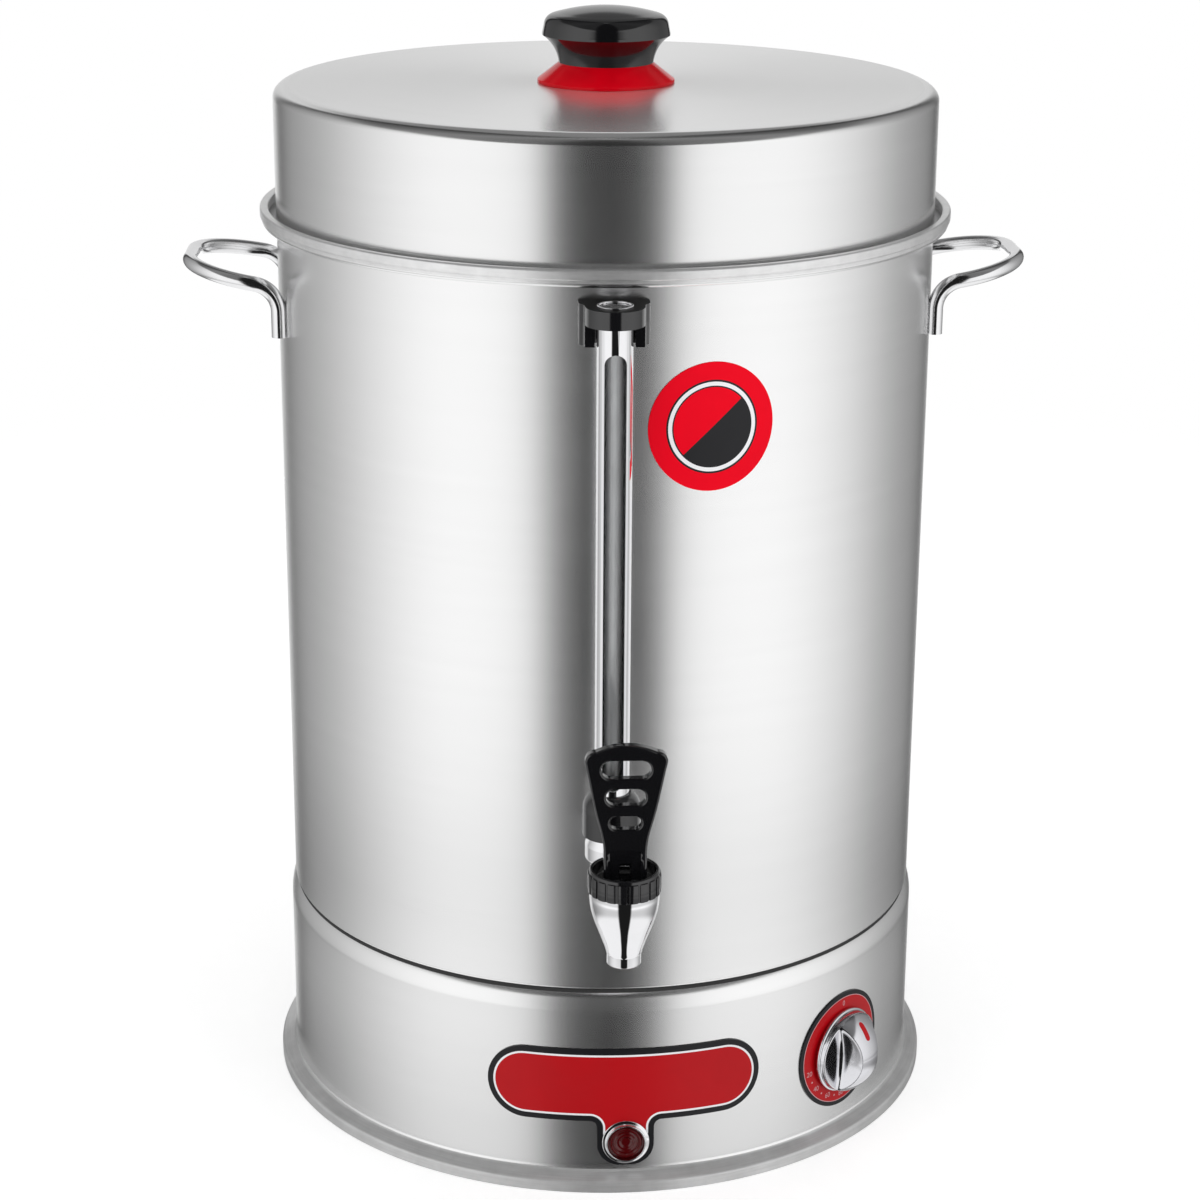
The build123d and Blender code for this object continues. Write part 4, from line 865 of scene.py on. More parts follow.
def vessel_section():
    hem_low, gutter, floor_top = RIM_TOP - HEM_H, RIM_Z + SHEET, VESSEL_Z + SHEET
    outer = [(0, VESSEL_Z), (WALL_R, VESSEL_Z, 1.6), (WALL_R, RIM_Z, 1.2), (RIM_R, RIM_Z, 2.2),
             (RIM_R, hem_low, 0.2), (RIM_R + SHEET, hem_low, 0.9), (RIM_R + SHEET, RIM_TOP, 1.2)]
    inner = [(HEM_INNER, RIM_TOP, 1.2), (HEM_INNER, hem_low, 0.6), (RIM_R - SHEET, hem_low, 0.4),
             (RIM_R - SHEET, gutter, 1.2), (WALL_R - SHEET, gutter, 1.6), (WALL_R - SHEET, floor_top, 0.8),
             (0, floor_top)]
    return rounded(outer + inner)


def in_pot(point, normal):
    return from_axis(point) < WALL_R - 0.5 and point.z > VESSEL_Z + 0.5


def on_lip(point, normal):
    return from_axis(point) > HEM_INNER - 0.1 and point.z > RIM_TOP - HEM_H - 1.5


def in_gutter(point, normal):
    """The gutter's floor and the lip's inner side: they face up or toward the axis."""
    radius = from_axis(point)
    inward = -(normal.x * point.x + normal.y * point.y) / max(radius, SHEET)
    return radius > WALL_R and RIM_Z + 0.4 < point.z < RIM_TOP - 1.3 and max(normal.z, inward) > 0.7


vessel = turned("vessel_shell", vessel_section(), STEEL_WALL, segments=256)
for finish, where in ((STEEL_INSIDE, in_pot), (STEEL_LIP, on_lip), (STEEL_GUTTER, in_gutter)):
    second_finish(vessel, finish, where)
fit(vessel, "urn", "stainless", "vessel")

# %% [markdown]
# ## The lid
#
# A shallow drawn dish turned upside down: a flat top, a rounded corner, a little wider than it is high,
# and a straight wall, with a locating ring inside that drops into the vessel's mouth.

# %% Lid
LID_CORNER, LID_CORNER_H = 9.0, 6.2
LOCATOR_R = WALL_R - SHEET - 0.7


def lid_section():
    low, under = RIM_Z + SHEET, LID_TOP - SHEET
    outer = [(0, LID_TOP), (LID_R, LID_TOP, LID_CORNER), (LID_R, low, 0.4), (LOCATOR_R, low, 0.2),
             (LOCATOR_R, lid_low.z, 0.3)]
    inner = [(LOCATOR_R - SHEET, lid_low.z, 0.3), (LOCATOR_R - SHEET, low + SHEET, 0.2),
             (LID_R - SHEET, low + SHEET, 0.2), (LID_R - SHEET, under, LID_CORNER - SHEET), (0, under)]
    return oval(rounded(outer + inner, steps=14), LID_TOP, LID_CORNER, LID_CORNER_H)


def on_top(point, normal):
    return normal.z > 0.99 and from_axis(point) < LID_R - 8.5


lid = turned("lid_shell", lid_section(), STEEL_LID, segments=256)
fit(second_finish(lid, STEEL_TOP, on_top), "lid", "stainless", "lid")

# %% [markdown]
# ## The base skirt
#
# A pressed ring: a rounded shoulder at its top carries the vessel, and its foot flares out and turns down.
# The shoulder is oval, higher than it is wide. The black gasket ring reaches past the frame's gasket to
# nearly the vessel's wall, so the seam shows as a thin dark line. It is a real gasket, and its outer band is
# painted shade for the seam.

# %% Base skirt
SHOULDER, SHOULDER_R, SHOULDER_H = SKIRT_TOP + 5.2, 5.6, 12.0
SEAM_SHADE_R, SEAM_LOW = WALL_R - 0.9, SHOULDER - 1.6


def skirt_section():
    inner_r, skirt_in, foot_in = WALL_R - 21, SKIRT_R - SHEET, FOOT_R - SHEET
    outer = [(inner_r, SHOULDER), (SKIRT_R, SHOULDER, SHOULDER_R), (SKIRT_R, 9.3, 2.6), (FOOT_R, 6.2, 1.8),
             (FOOT_R, 0, 0.3)]
    inner = [(foot_in, 0, 0.3), (foot_in, 5.4, 0.8), (skirt_in, 8.5, 3.6),
             (skirt_in, SHOULDER - SHEET, SHOULDER_R - SHEET), (inner_r, SHOULDER - SHEET)]
    return oval(rounded(outer + inner, steps=14), SHOULDER, SHOULDER_R, SHOULDER_H, slack=0.01)


# The ring's outer edge lies nearly at the wall. Its black band there is painted shade in the seam, not the
# gasket's real width.
def gasket_and_shade_section():
    inner_r = WALL_R - 17
    return rounded([(inner_r, SEAM_LOW, 0.3), (SEAM_SHADE_R, SEAM_LOW, 0.3), (SEAM_SHADE_R, VESSEL_Z, 0.3),
                    (inner_r, VESSEL_Z, 0.3)], steps=3)


def on_foot(point, normal):
    return point.z < 11.5 and from_axis(point) > SKIRT_R + 0.3


skirt = turned("skirt_shell", skirt_section(), STEEL_WALL, segments=256)
fit(second_finish(skirt, STEEL_FOOT, on_foot), "urn", "stainless", "base_skirt")
fit(turned("gasket_and_seam_shade", gasket_and_shade_section(), RUBBER), "urn", "black_rubber", "base_gasket")

# %% [markdown]
# ## The lid's knob
#
# A red collar tapers up from the lid, and the black knob flares from it to a sharp edge, with a rounded
# side and a shallow dome above. Both are turned.

# %% Knob and collar
def knob_section():
    low, high = box("lid_knob")
    edge_r, neck_r, edge = high.x, high.x - 8.8, low.z + 15.5
    shoulder_r, shoulder = high.x - 5.8, low.z + 25
    flare = through((neck_r, low.z), (neck_r + 3.2, low.z + 8.6), (edge_r, edge - 1.2))
    cone = [Vector((edge_r - 0.1, edge + 0.2)), Vector((edge_r - 0.9, edge + 4.2))]
    side = cone + through(cone[1], (edge_r - 2.5, edge + 7.7), (shoulder_r, shoulder))[1:]
    top = dome(shoulder_r, shoulder, high.z)
    soft = through(side[-2], (shoulder_r - 0.25, shoulder + 0.12), top[1], 6)
    return [Vector((0, low.z))] + flare + [Vector((edge_r, edge - 0.2))] + side[:-1] + soft[1:-1] + top[1:]


def collar_section():
    low, high = box("knob_collar")
    return rounded([(0, low.z), (high.x, low.z, 0.3), (high.x, low.z + 1.6, 0.8),
                    (high.x - 11.3, high.z, 0.3), (0, high.z)], steps=5)


fit(turned("knob_body", knob_section(), BLACK, sharp=40), "lid", "black_plastic", "lid_knob")
fit(turned("collar_body", collar_section(), RED), "lid", "red_plastic", "knob_collar")

# %% [markdown]
# ## The handles
#
# Each handle is one bent rod: up the wall, out over a bend, round the loop and back. A second tree makes
# it from five straight runs: every corner keeps its own bend radius as an attribute, which Fillet Curve
# reads.

# %% Handles
ROD_R, HANDLE_REACH, ARM_DROP, WELD_SINK = 4.0, 46.0, 9.0, 0.6
ARM_BEND, LOOP_BEND = 15.0, 36.0


def build_rod_tree():
    sizes = [("Rod radius", "Float", ROD_R * MM), ("Sides", "Int", 40)]
    tree, given, out = geometry_group("Bend a rod", sizes)
    route = add(tree, "GeometryNodeMeshToCurve", {"Mesh": given["Geometry"]}).outputs[0]
    bend = add(tree, "GeometryNodeInputNamedAttribute", {"Name": "bend"}, data_type="FLOAT")
    corners = {"Curve": route, "Radius": bend.outputs["Attribute"], "Count": 20}
    bent = add(tree, "GeometryNodeFilletCurve", corners, mode="POLY")
    round_rod = {"Resolution": given["Sides"], "Radius": given["Rod radius"]}
    section = add(tree, "GeometryNodeCurvePrimitiveCircle", round_rod).outputs[0]
    sweep = {"Curve": bent.outputs[0], "Profile Curve": section, "Fill Caps": True}
    sharpen_and_paint(tree, add(tree, "GeometryNodeCurveToMesh", sweep).outputs[0], given, out)
    return tree


BENDING = build_rod_tree()


def build_handle(side, name, node):
    """Half the rod's corners, with the bend of each, are mirrored for the way back."""
    low, high = box(node)
    half, tip = high.y - ROD_R, high.z - ROD_R
    at_wall = math.sqrt((WALL_R + ROD_R - WELD_SINK) ** 2 - half ** 2)
    out = [(at_wall, low.z, 0.0), (at_wall, tip - ARM_DROP, ARM_BEND),
           (WALL_R + HANDLE_REACH, tip, LOOP_BEND)]
    route = [(x, -half, z, bend) for x, z, bend in out] + [(x, half, z, bend) for x, z, bend in reversed(out)]
    mesh = bpy.data.meshes.new(name)
    points = [Vector((side * x, y, z)) * MM for x, y, z, bend in route]
    mesh.from_pydata(points, [(i, i + 1) for i in range(5)], [])
    bends = mesh.attributes.new("bend", "FLOAT", "POINT")
    bends.data.foreach_set("value", [bend * MM for x, y, z, bend in route])
    return fit(grown(name, BENDING, mesh, Finish=POLISHED), "urn", "polished_steel", node)


build_handle(-1, "handle_rod_left", "handle_left")
build_handle(1, "handle_rod_right", "handle_right")

# %% [markdown]
# ## The tap
#
# The tap body is plated: a spout that widens upward into a round chamber, and a shank that runs back
# through the gauge's tee and ends inside the vessel's wall. Both are turned, the spout upright and the
# shank lying down.

# %% Tap body and shank
BONNET_R = box("tap_bonnet")[1].x
TAP_R, SPOUT_R, OUTLET_R = BONNET_R - 0.9, 8.6, 5.5
SHANK_END_Y = -160.0
TAP_PLACE = upright(0, TAP_Y)


def spout_section():
    waist, edge = SPOUT_Z + 6, 0.6
    swell = [(SPOUT_R + 0.35, waist), (10.0, waist + 3.8), (12.9, waist + 11.6), (15.7, waist + 19.6),
             (17.1, waist + 26), (TAP_R, BONNET_Z - 0.5)]
    mouth = [Vector((OUTLET_R, SPOUT_Z + 20)), Vector((OUTLET_R, SPOUT_Z + 0.4))]
    mouth += arc((OUTLET_R + 0.4, SPOUT_Z + 0.4), 0.4, 180, 270, 3)
    mouth += arc((SPOUT_R - edge, SPOUT_Z + edge), edge, -90, 0, 6) + [Vector((SPOUT_R, waist - 0.6))]
    top = [Vector((TAP_R, BONNET_Z)), Vector((OUTLET_R, BONNET_Z))]
    return mouth + flowing(swell, (0.2, 1), (0, 1)) + top


def lying(y, z):
    """Z of the turned piece laid along +Y from a point."""
    return upright(0, y, z) @ spin(-90, "X")


def shank_section():
    length, flange = SHANK_END_Y - TAP_Y, 18
    return rounded([(0, 0), (12, 0), (12, flange, 0.4), (9, flange), (9, length, 0.8), (0, length)], steps=4)


fit(turned("tap_spout", spout_section(), CHROME, TAP_PLACE), "urn", "chrome", "tap_body")
fit(turned("tap_shank", shank_section(), CHROME, lying(TAP_Y, SHANK_Z), 96), "urn", "chrome", "tap_body")

# %% [markdown]
# ## The bonnet
#
# The screwed collar on top of the tap: an open cup with a rounded lip, and a grip band of twenty wide
# pads with narrow grooves between them. The cup is turned. One pad is modelled, and a third tree repeats
# it round the axis.

# %% Repeating tree
def build_repeat_tree():
    steps = [("Count", "Int", 20), ("Step angle", "Float", 0.0), ("Start angle", "Float", 0.0)]
    tree, given, out = geometry_group("Repeat round an axis", steps)
    points = add(tree, "GeometryNodePoints", {"Count": given["Count"]}).outputs[0]
    number = add(tree, "GeometryNodeInputIndex").outputs[0]
    angle = maths(tree, "MULTIPLY_ADD", number, given["Step angle"], given["Start angle"])
    euler = add(tree, "ShaderNodeCombineXYZ", {2: angle}).outputs[0]
    rotation = add(tree, "FunctionNodeEulerToRotation", {0: euler}).outputs[0]
    place = {"Points": points, "Instance": given["Geometry"], "Rotation": rotation}
    sharpen_and_paint(tree, add(tree, "GeometryNodeInstanceOnPoints", place).outputs[0], given, out)
    return tree


REPEAT = build_repeat_tree()


def repeated(name, mesh, count, finish, step, start):
    """A mesh repeated round Z, at angles in degrees."""
    return grown(name, REPEAT, mesh, Count=count, Finish=finish, Sharp_angle=math.radians(30),
                 Step_angle=math.radians(step), Start_angle=math.radians(start))


print("tree:", REPEAT.name, "with", len(REPEAT.nodes), "nodes")

# %% Bonnet
RIB_COUNT, RIB_GAP, RIB_START = 20, 1.1, -96
RIB_LEVELS = [(0.02, 0.5), (0.1, 0.12), (0.5, 0), (9.0, 0), (9.6, 0.2), (9.8, 0.7)]
RIB_FACE = [(0, 0), (0.5, 0.06), (0.9, 0.2), (0.97, 0.36), (1, 0.8)]


def cup_section():
    core, lip_r, top, web = BONNET_R - 0.7, BONNET_R - 0.9, BONNET_Z + 11.7, BONNET_Z + 4.7
    return rounded([(0, BONNET_Z), (core, BONNET_Z, 0.3), (core, BONNET_Z + 9.4, 0.1),
                    (lip_r, BONNET_Z + 9.8, 0.2), (lip_r, top, 0.9), (lip_r - 1.9, top, 0.7),
                    (lip_r - 1.9, web, 0.6), (0, web)])


def rib_mesh():
    """One pad: a bent block with rounded long edges, on the +X side. Its levels draw in at its two ends."""
    half = math.pi * BONNET_R / RIB_COUNT - RIB_GAP / 2
    face = [(-share, drop) for share, drop in RIB_FACE[:0:-1]] + RIB_FACE
    rows = []
    for height, inward in RIB_LEVELS:
        ring = [(BONNET_R - drop - inward, share * half) for share, drop in face]
        ring = [(BONNET_R - 1, -half), *ring, (BONNET_R - 1, half)]
        polar = [(r, w / BONNET_R) for r, w in ring]
        rows.append([(r * math.cos(t), r * math.sin(t), BONNET_Z + height) for r, t in polar])
    return skinned("rib", rows)


fit(turned("bonnet_cup", cup_section(), BLACK, TAP_PLACE, 128), "urn", "black_plastic", "tap_bonnet")
ribs = repeated("bonnet_ribs", rib_mesh(), RIB_COUNT, BLACK, 360 / RIB_COUNT, RIB_START)
ribs.data.transform(TAP_PLACE)
fit(ribs, "urn", "black_plastic", "tap_bonnet")

# %% [markdown]
# ## The sight gauge
#
# A clear glass tube in a plated guard with one long window. The gland nut at its foot and the tee below
# it are turned. The guard and many small pieces keep the frame's own shape: a copy of the node's mesh is
# merged, its true edges are kept sharp and its normals weighted by area. The guard's inside is dull, face
# by face.

# %% Merged copies
def smooth_but(mesh, sharp):
    """Shaded smooth but for edges that bend more than an angle in degrees."""
    mesh.shade_smooth()
    mesh.set_sharp_from_angle(angle=math.radians(sharp))
    return mesh


def merged_copy(node, finish, bevel=0.0, sharp=30):
    """A copy of a frame node's mesh with shared vertices, true sharp edges and area-weighted normals."""
    shell = bmesh.new()
    shell.from_mesh(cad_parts[node].data)
    bmesh.ops.remove_doubles(shell, verts=shell.verts, dist=0.004 * MM)
    if bevel > 0:
        bmesh.ops.dissolve_limit(shell, angle_limit=math.radians(1), verts=shell.verts, edges=shell.edges)
        shared = [e for e in shell.edges if len(e.link_faces) == 2]
        edges = [e for e in shared if e.calc_face_angle() > math.radians(sharp)]
        bmesh.ops.bevel(shell, geom=edges, offset=bevel * MM, segments=2, profile=0.6, affect="EDGES",
                        clamp_overlap=True)
        bmesh.ops.triangulate(shell, faces=[f for f in shell.faces if len(f.verts) > 4])
    mesh = bpy.data.meshes.new(node + "_fine")
    shell.to_mesh(mesh)
    shell.free()
    mesh.materials.clear()
    mesh.materials.append(finish)
    piece = linked(node + "_fine", smooth_but(mesh, sharp))
    piece.modifiers.new("weights", "WEIGHTED_NORMAL").keep_sharp = True
    return evaluated(piece)


# %% Sight gauge
gauge_low, gauge_high = box("gauge_glass")
GAUGE_X, GAUGE_Y = (gauge_low.x + gauge_high.x) / 2, (gauge_low.y + gauge_high.y) / 2
GUARD_R, GLASS_R, GLASS_T, NUT_R = 8.8, 6.0, 1.5, 14.6
TEE_TOP = box("gauge_nut")[0].z


def glass_section():
    inner = GLASS_R - GLASS_T
    return rounded([(inner, gauge_low.z, 0.3), (GLASS_R, gauge_low.z, 0.3), (GLASS_R, gauge_high.z, 0.3),
                    (inner, gauge_high.z, 0.3)], steps=3)


def nut_section():
    inner, shoulder, top = GUARD_R + 0.05, TEE_TOP + 14, TEE_TOP + 22.5
    crown = through((NUT_R - 0.1, shoulder + 0.4), (NUT_R - 1.4, shoulder + 5.2), (GUARD_R + 0.8, top))
    flank = [Vector((inner, TEE_TOP)), Vector((NUT_R, TEE_TOP)), Vector((NUT_R, shoulder))]
    return flank + crown + [Vector((inner, top))]


def tee_section():
    low = SHANK_Z
    return rounded([(0, low), (10.5, low), (10.5, low + 12.5, 1.5), (13.4, low + 15.5, 2),
                    (13.4, TEE_TOP - 5, 3), (11.4, TEE_TOP, 0.8), (9.4, TEE_TOP), (0, TEE_TOP)])


def boss_section():
    length, radius = 25.5, 12
    return rounded([(0, 0), (radius, 0, 0.6), (radius, length, 0.6), (0, length)])


def inside_guard(point, normal):
    return math.hypot(point.x - GAUGE_X, point.y - GAUGE_Y) < GUARD_R - 0.5


GAUGE, BOSS_PLACE = upright(GAUGE_X, GAUGE_Y), lying(-(WALL_R + 28.5), SHANK_Z)
fit(turned("glass_tube", glass_section(), GLASS, GAUGE, 64), "urn", "clear_glass", "gauge_glass")
fit(turned("gland_nut", nut_section(), BLACK, GAUGE, 96), "urn", "black_plastic", "gauge_nut")
fit(turned("tee_barrel", tee_section(), CHROME, GAUGE, 96), "urn", "chrome", "gauge_tee")
fit(turned("tee_boss", boss_section(), CHROME, BOSS_PLACE, 96), "urn", "chrome", "gauge_tee")
guard = second_finish(merged_copy("gauge_guard", CHROME), SATIN_INSIDE, inside_guard)
fit(guard, "urn", "chrome", "gauge_guard")

# %% [markdown]
# The moulded bracket at the gauge's top keeps the frame's shape, with a matt top. Below it two wings run
# down beside the guard to the end of its saddle. Each is a plan outline with a wave in its front, drawn
# up in height.

# %% Bracket
BRACKET_LOW = RIM_Z - 15.6
WING_NOSE, WING_HALF, WING_INNER = 14.4, 17.2, 9.7


def faces_up(point, normal):
    return normal.z > 0.9


def build_wing(side, name):
    wave = flowing([(WING_NOSE, 0), (WING_NOSE + 0.4, 3.5), (WING_HALF, 8)], (0, 1), (0.2, 1), 6)
    plan = [Vector((WING_INNER, 0))] + wave + [Vector((WING_HALF, 14.5)), Vector((WING_INNER, 15))]
    saddle_low = box("gauge_bracket")[0].z
    rows = [[(GAUGE_X + side * p.x, GAUGE_Y + p.y, z) for p in plan] for z in (saddle_low, BRACKET_LOW)]
    mesh = smooth_but(outward(skinned(name, rows)), 30)
    mesh.materials.append(BLACK)
    return fit(linked(name, mesh), "urn", "black_plastic", "gauge_bracket")


bracket = second_finish(merged_copy("gauge_bracket", BLACK, 0.3), BLACK_MATT, faces_up)
fit(bracket, "urn", "black_plastic", "gauge_bracket")
build_wing(-1, "bracket_wing_left")
build_wing(1, "bracket_wing_right")

# %% [markdown]
# ## The pilot lamp
#
# A plated bezel with a flange and a raised ring, and a dark red lens with concentric ridges. Both are
# turned and then laid on the skirt, facing outward.

# %% Pilot lamp
PANEL_AZ, LAMP_Z = 1.5, 26.2
PLATE_T = 0.8
PLATE_FACE = SKIRT_R + PLATE_T
LAMP_PLACE = facing(PANEL_AZ, PLATE_FACE, LAMP_Z)
BEZEL = [(9.8, -0.9), (12.5, -0.9), (12.5, 0.9, 0.4), (10.9, 1.2, 0.25), (10.6, 2.9, 0.4),
         (9.9, 2.9, 0.28), (9.7, 1.4)]
LENS_RIDGES = [(0, -0.8), (9.65, -0.8), (9.65, 0.6, 0.2), (8.7, 0.9, 0.2), (8.1, 2.0, 0.3), (7.3, 2.1, 0.3),
               (6.6, 1.0, 0.3), (5.5, 1.5, 0.3), (4.6, 0.8, 0.3), (3.5, 1.1, 0.4), (2.4, 0.3, 0.4), (0, 0.1)]

fit(turned("bezel_ring", rounded(BEZEL, 6), CHROME, LAMP_PLACE, 96), "urn", "chrome", "lamp_bezel")
fit(turned("lens_disc", rounded(LENS_RIDGES, 5), LENS_RED, LAMP_PLACE, 96), "urn", "lamp_red", "lamp_lens")

# %% [markdown]
# ## Printed plates
#
# The name plate, the dial and the round label are thin sheets bent to the wall. Each is drawn flat, as
# nested outlines with one ink between each two. The flat mesh is cut into narrow strips, so that it can
# bend, and then wrapped: a point's distance along the flat sheet becomes an angle round the axis.

# %% Flat drawing and wrapping
CUT_ASIDE, CUT_WITHIN = 1e-6, 1e-7


def nested(name, outlines, finishes):
    """A flat mesh in rings between outlines of equal length; one finish more fills the inside."""
    mesh = skinned(name, [[(p.x, p.y, 0) for p in outline] for outline in outlines[::-1]], caps=False)
    wide = len(outlines[0])
    with editing(mesh) as shell:
        shell.faces.ensure_lookup_table()
        for number, face in enumerate(shell.faces):
            face.material_index = len(outlines) - 2 - number // wide
        if len(finishes) == len(outlines):
            shell.faces.new(shell.verts[:wide]).material_index = len(finishes) - 1
    for finish in finishes:
        mesh.materials.append(finish)
    return mesh


def sliced(mesh, pitch=2.0):
    """Cut across at even steps along x, each a hair aside, so that no cut runs through a point."""
    pitch *= MM
    with editing(mesh) as shell:
        xs = [v.co.x for v in shell.verts]
        for k in range(int(min(xs) / pitch), int(max(xs) / pitch) + 1):
            everything = shell.verts[:] + shell.edges[:] + shell.faces[:]
            cut = (k * pitch + CUT_ASIDE, 0, 0)
            bmesh.ops.bisect_plane(shell, geom=everything, plane_co=cut, plane_no=(1, 0, 0), dist=CUT_WITHIN)
    return mesh


def wrapped(mesh, azimuth, z, radius, depth=0.0):
    """The flat mesh bent round the axis, with a side wall down to depth where it has one."""
    with editing(mesh) as shell:
        if depth > 0:
            made = bmesh.ops.extrude_edge_only(shell, edges=[e for e in shell.edges if e.is_boundary])
            for vert in [v for v in made["geom"] if isinstance(v, bmesh.types.BMVert)]:
                vert.co.z -= depth * MM
        for vert in shell.verts:
            angle = math.radians(azimuth) + vert.co.x / (radius * MM)
            distance = radius * MM + vert.co.z
            vert.co = (distance * math.sin(angle), -distance * math.cos(angle), z * MM + vert.co.y)
        bmesh.ops.recalc_face_normals(shell, faces=shell.faces)
        outside = sum(f.normal.xy.dot(f.calc_center_median().xy) * f.calc_area() for f in shell.faces)
        if outside < 0:
            bmesh.ops.reverse_faces(shell, faces=shell.faces)
    return smooth_but(mesh, 30)


def on_wall(mesh, azimuth, z, radius, depth, *nodes):
    """A flat print wrapped on the urn's wall and fitted."""
    wrapped(mesh, azimuth, z, radius, depth)
    return fit(linked(mesh.name, mesh), "urn", "printed_red", *nodes)


# %% [markdown]
# The name plate is a pill with a tab for the lamp. From its edge inward come a black border, a fine white
# line and the red ground. Its outline is worked out at any distance from the edge, so the borders keep
# their width round every corner.

# %% Name plate
PANEL_Z, PANEL_H, PANEL_HALF_ARC = 59.2, 41.5, 74.0
TAB_W, TAB_DROP, TAB_CORNER, TAB_FILLET = 30.0, 13.7, 12.0, 4.0
PLATE_LINES = (0, 3.1, 4.2)


def plate_outline(inset):
    """The plate's outline, moved inward. A hair of straight run parts the two arcs of each round end."""
    half, rise, tab = PANEL_HALF_ARC - inset, PANEL_H / 2 - inset, TAB_W / 2 - inset
    low, end = LAMP_Z - TAB_DROP - PANEL_Z + inset, rise - 0.001
    right = [(tab, low, TAB_CORNER - inset), (tab, -rise, TAB_FILLET + inset), (half, -rise, end),
             (half, rise, end)]
    return rounded([(-x, y, radius) for x, y, radius in reversed(right)] + right, steps=14)


plate = nested("plate_print", [plate_outline(line) for line in PLATE_LINES],
               [PRINT_BLACK, PRINT_WHITE, PRINT_RED])
on_wall(sliced(plate), PANEL_AZ, PANEL_Z, PLATE_FACE, PLATE_T, "name_plate")

# %% [markdown]
# The round label is a plain design: a red ground, a white ring between two thin black lines, and a middle
# split slantwise in red and black. The black half is a second, smaller sheet that lies a hair above the
# first.

# %% Round label
LABEL_AZ, LABEL_T, LABEL_LIFT, LABEL_SPLIT = 14.7, 0.4, 0.04, 42
LABEL_RINGS = (32.5, 23.6, 22.6, 20.6, 19.9)
label_low, label_high = box("round_label")
LABEL_Z = (label_low.z + label_high.z) / 2

label = nested("label_print", [circle(radius) for radius in LABEL_RINGS],
               [LABEL_RED, PRINT_BLACK, PRINT_WHITE, PRINT_BLACK, LABEL_RED])
on_wall(sliced(label), LABEL_AZ, LABEL_Z, WALL_R + LABEL_T, LABEL_T, "round_label")
half_disc = arc((0, 0), LABEL_RINGS[-1], LABEL_SPLIT, LABEL_SPLIT - 180, 40)
half = nested("label_half", [half_disc], [PRINT_BLACK])
on_wall(sliced(half), LABEL_AZ, LABEL_Z, WALL_R + LABEL_T + LABEL_LIFT, 0.0)

# %% [markdown]
# ## The dial
#
# A round plate with a black border, a thin light line and a red face. A nought stands at its top, and
# numbers for the temperature run from its left round the bottom, with a dot between each two. The dots
# are one small disc that the repeating tree places.

# %% Dial
DIAL_AZ, DIAL_Z = 44.8, 52.0
DIAL_RINGS, MARK_R, PRINT_LIFT = (33, 30.6, 30.2, 3.8), 26.9, 0.05
MARKS = {"0": 0, "20": -105, "40": -130, "60": -155, "80": -180, "100": -205}
NUMBER_SIZE, DOT_R, DOT_START, DOT_STEP = 4.1, 0.55, 117.5, 25


def number_mesh(text, angle):
    """A number, upright, at a clock angle on the dial."""
    curve = bpy.data.curves.new("number_" + text, "FONT")
    curve.body, curve.size, curve.align_x, curve.align_y = text, NUMBER_SIZE * MM, "CENTER", "CENTER"
    curve.fill_mode = "FRONT"
    holder = bpy.data.objects.new("number_" + text, curve)
    mesh = bpy.data.meshes.new_from_object(holder)
    bpy.data.objects.remove(holder)
    turn = math.radians(angle)
    mesh.transform(upright(MARK_R * math.sin(turn), MARK_R * math.cos(turn)))
    return mesh


dial = nested("dial_print", [circle(radius) for radius in DIAL_RINGS], [PRINT_BLACK, PRINT_PALE, PRINT_RED])
on_wall(sliced(dial), DIAL_AZ, DIAL_Z, PLATE_FACE, PLATE_T, "dial_plate")

numbers = bpy.data.meshes.new("dial_numbers")
with editing(numbers) as shell:
    for text, angle in MARKS.items():
        shell.from_mesh(number_mesh(text, angle))
numbers.materials.append(PRINT_PALE)
on_wall(sliced(numbers, 1.5), DIAL_AZ, DIAL_Z, PLATE_FACE + PRINT_LIFT, 0.0)

dot = bpy.data.meshes.new("dot")
dot.from_pydata([Vector((p.x, p.y + MARK_R, 0)) * MM for p in circle(DOT_R, 12)], [], [range(12)])
dots = repeated("dial_dots", dot, 4, PRINT_PALE, DOT_STEP, DOT_START)
wrapped(dots.data, DIAL_AZ, DIAL_Z, PLATE_FACE + PRINT_LIFT)
fit(dots, "urn", "printed_red")

# %% [markdown]
# ## The thermostat knob
#
# A plated knob: a dome with a thumb scoop on each side, which leaves a waisted bar to grip. It is a
# height field on rings round its axis: each point's height is the dome's, let down to the scoop's floor
# where it lies inside a scoop, with a soft step between them.

# %% Thermostat knob
KNOB_R, KNOB_WALL_H, CROWN, EDGE = 22.2, 6.5, 19.5, 0.9
WAIST, BAR_END, REACH, SCOOP_FLOOR, SCOOP_DIP = 6.8, 11.5, 19.0, 4.5, 2.0
SCOOP_R = (REACH ** 2 + (BAR_END - WAIST) ** 2) / (2 * (BAR_END - WAIST))
FLOOR_R = (REACH ** 2 + SCOOP_DIP ** 2) / (2 * SCOOP_DIP)
CROWN_R = (KNOB_R ** 2 + (CROWN - KNOB_WALL_H) ** 2) / (2 * (CROWN - KNOB_WALL_H))
KNOB_SKIRT = [(22.25, 3.4), (22.4, 2.2), (22.7, 1.9), (23.2, 1.85), (23.45, 1.55), (23.5, 0.3),
              (23.3, 0), (3.5, 0)]
DIAL_PLACE = facing(DIAL_AZ, SKIRT_R + 1.3, DIAL_Z)


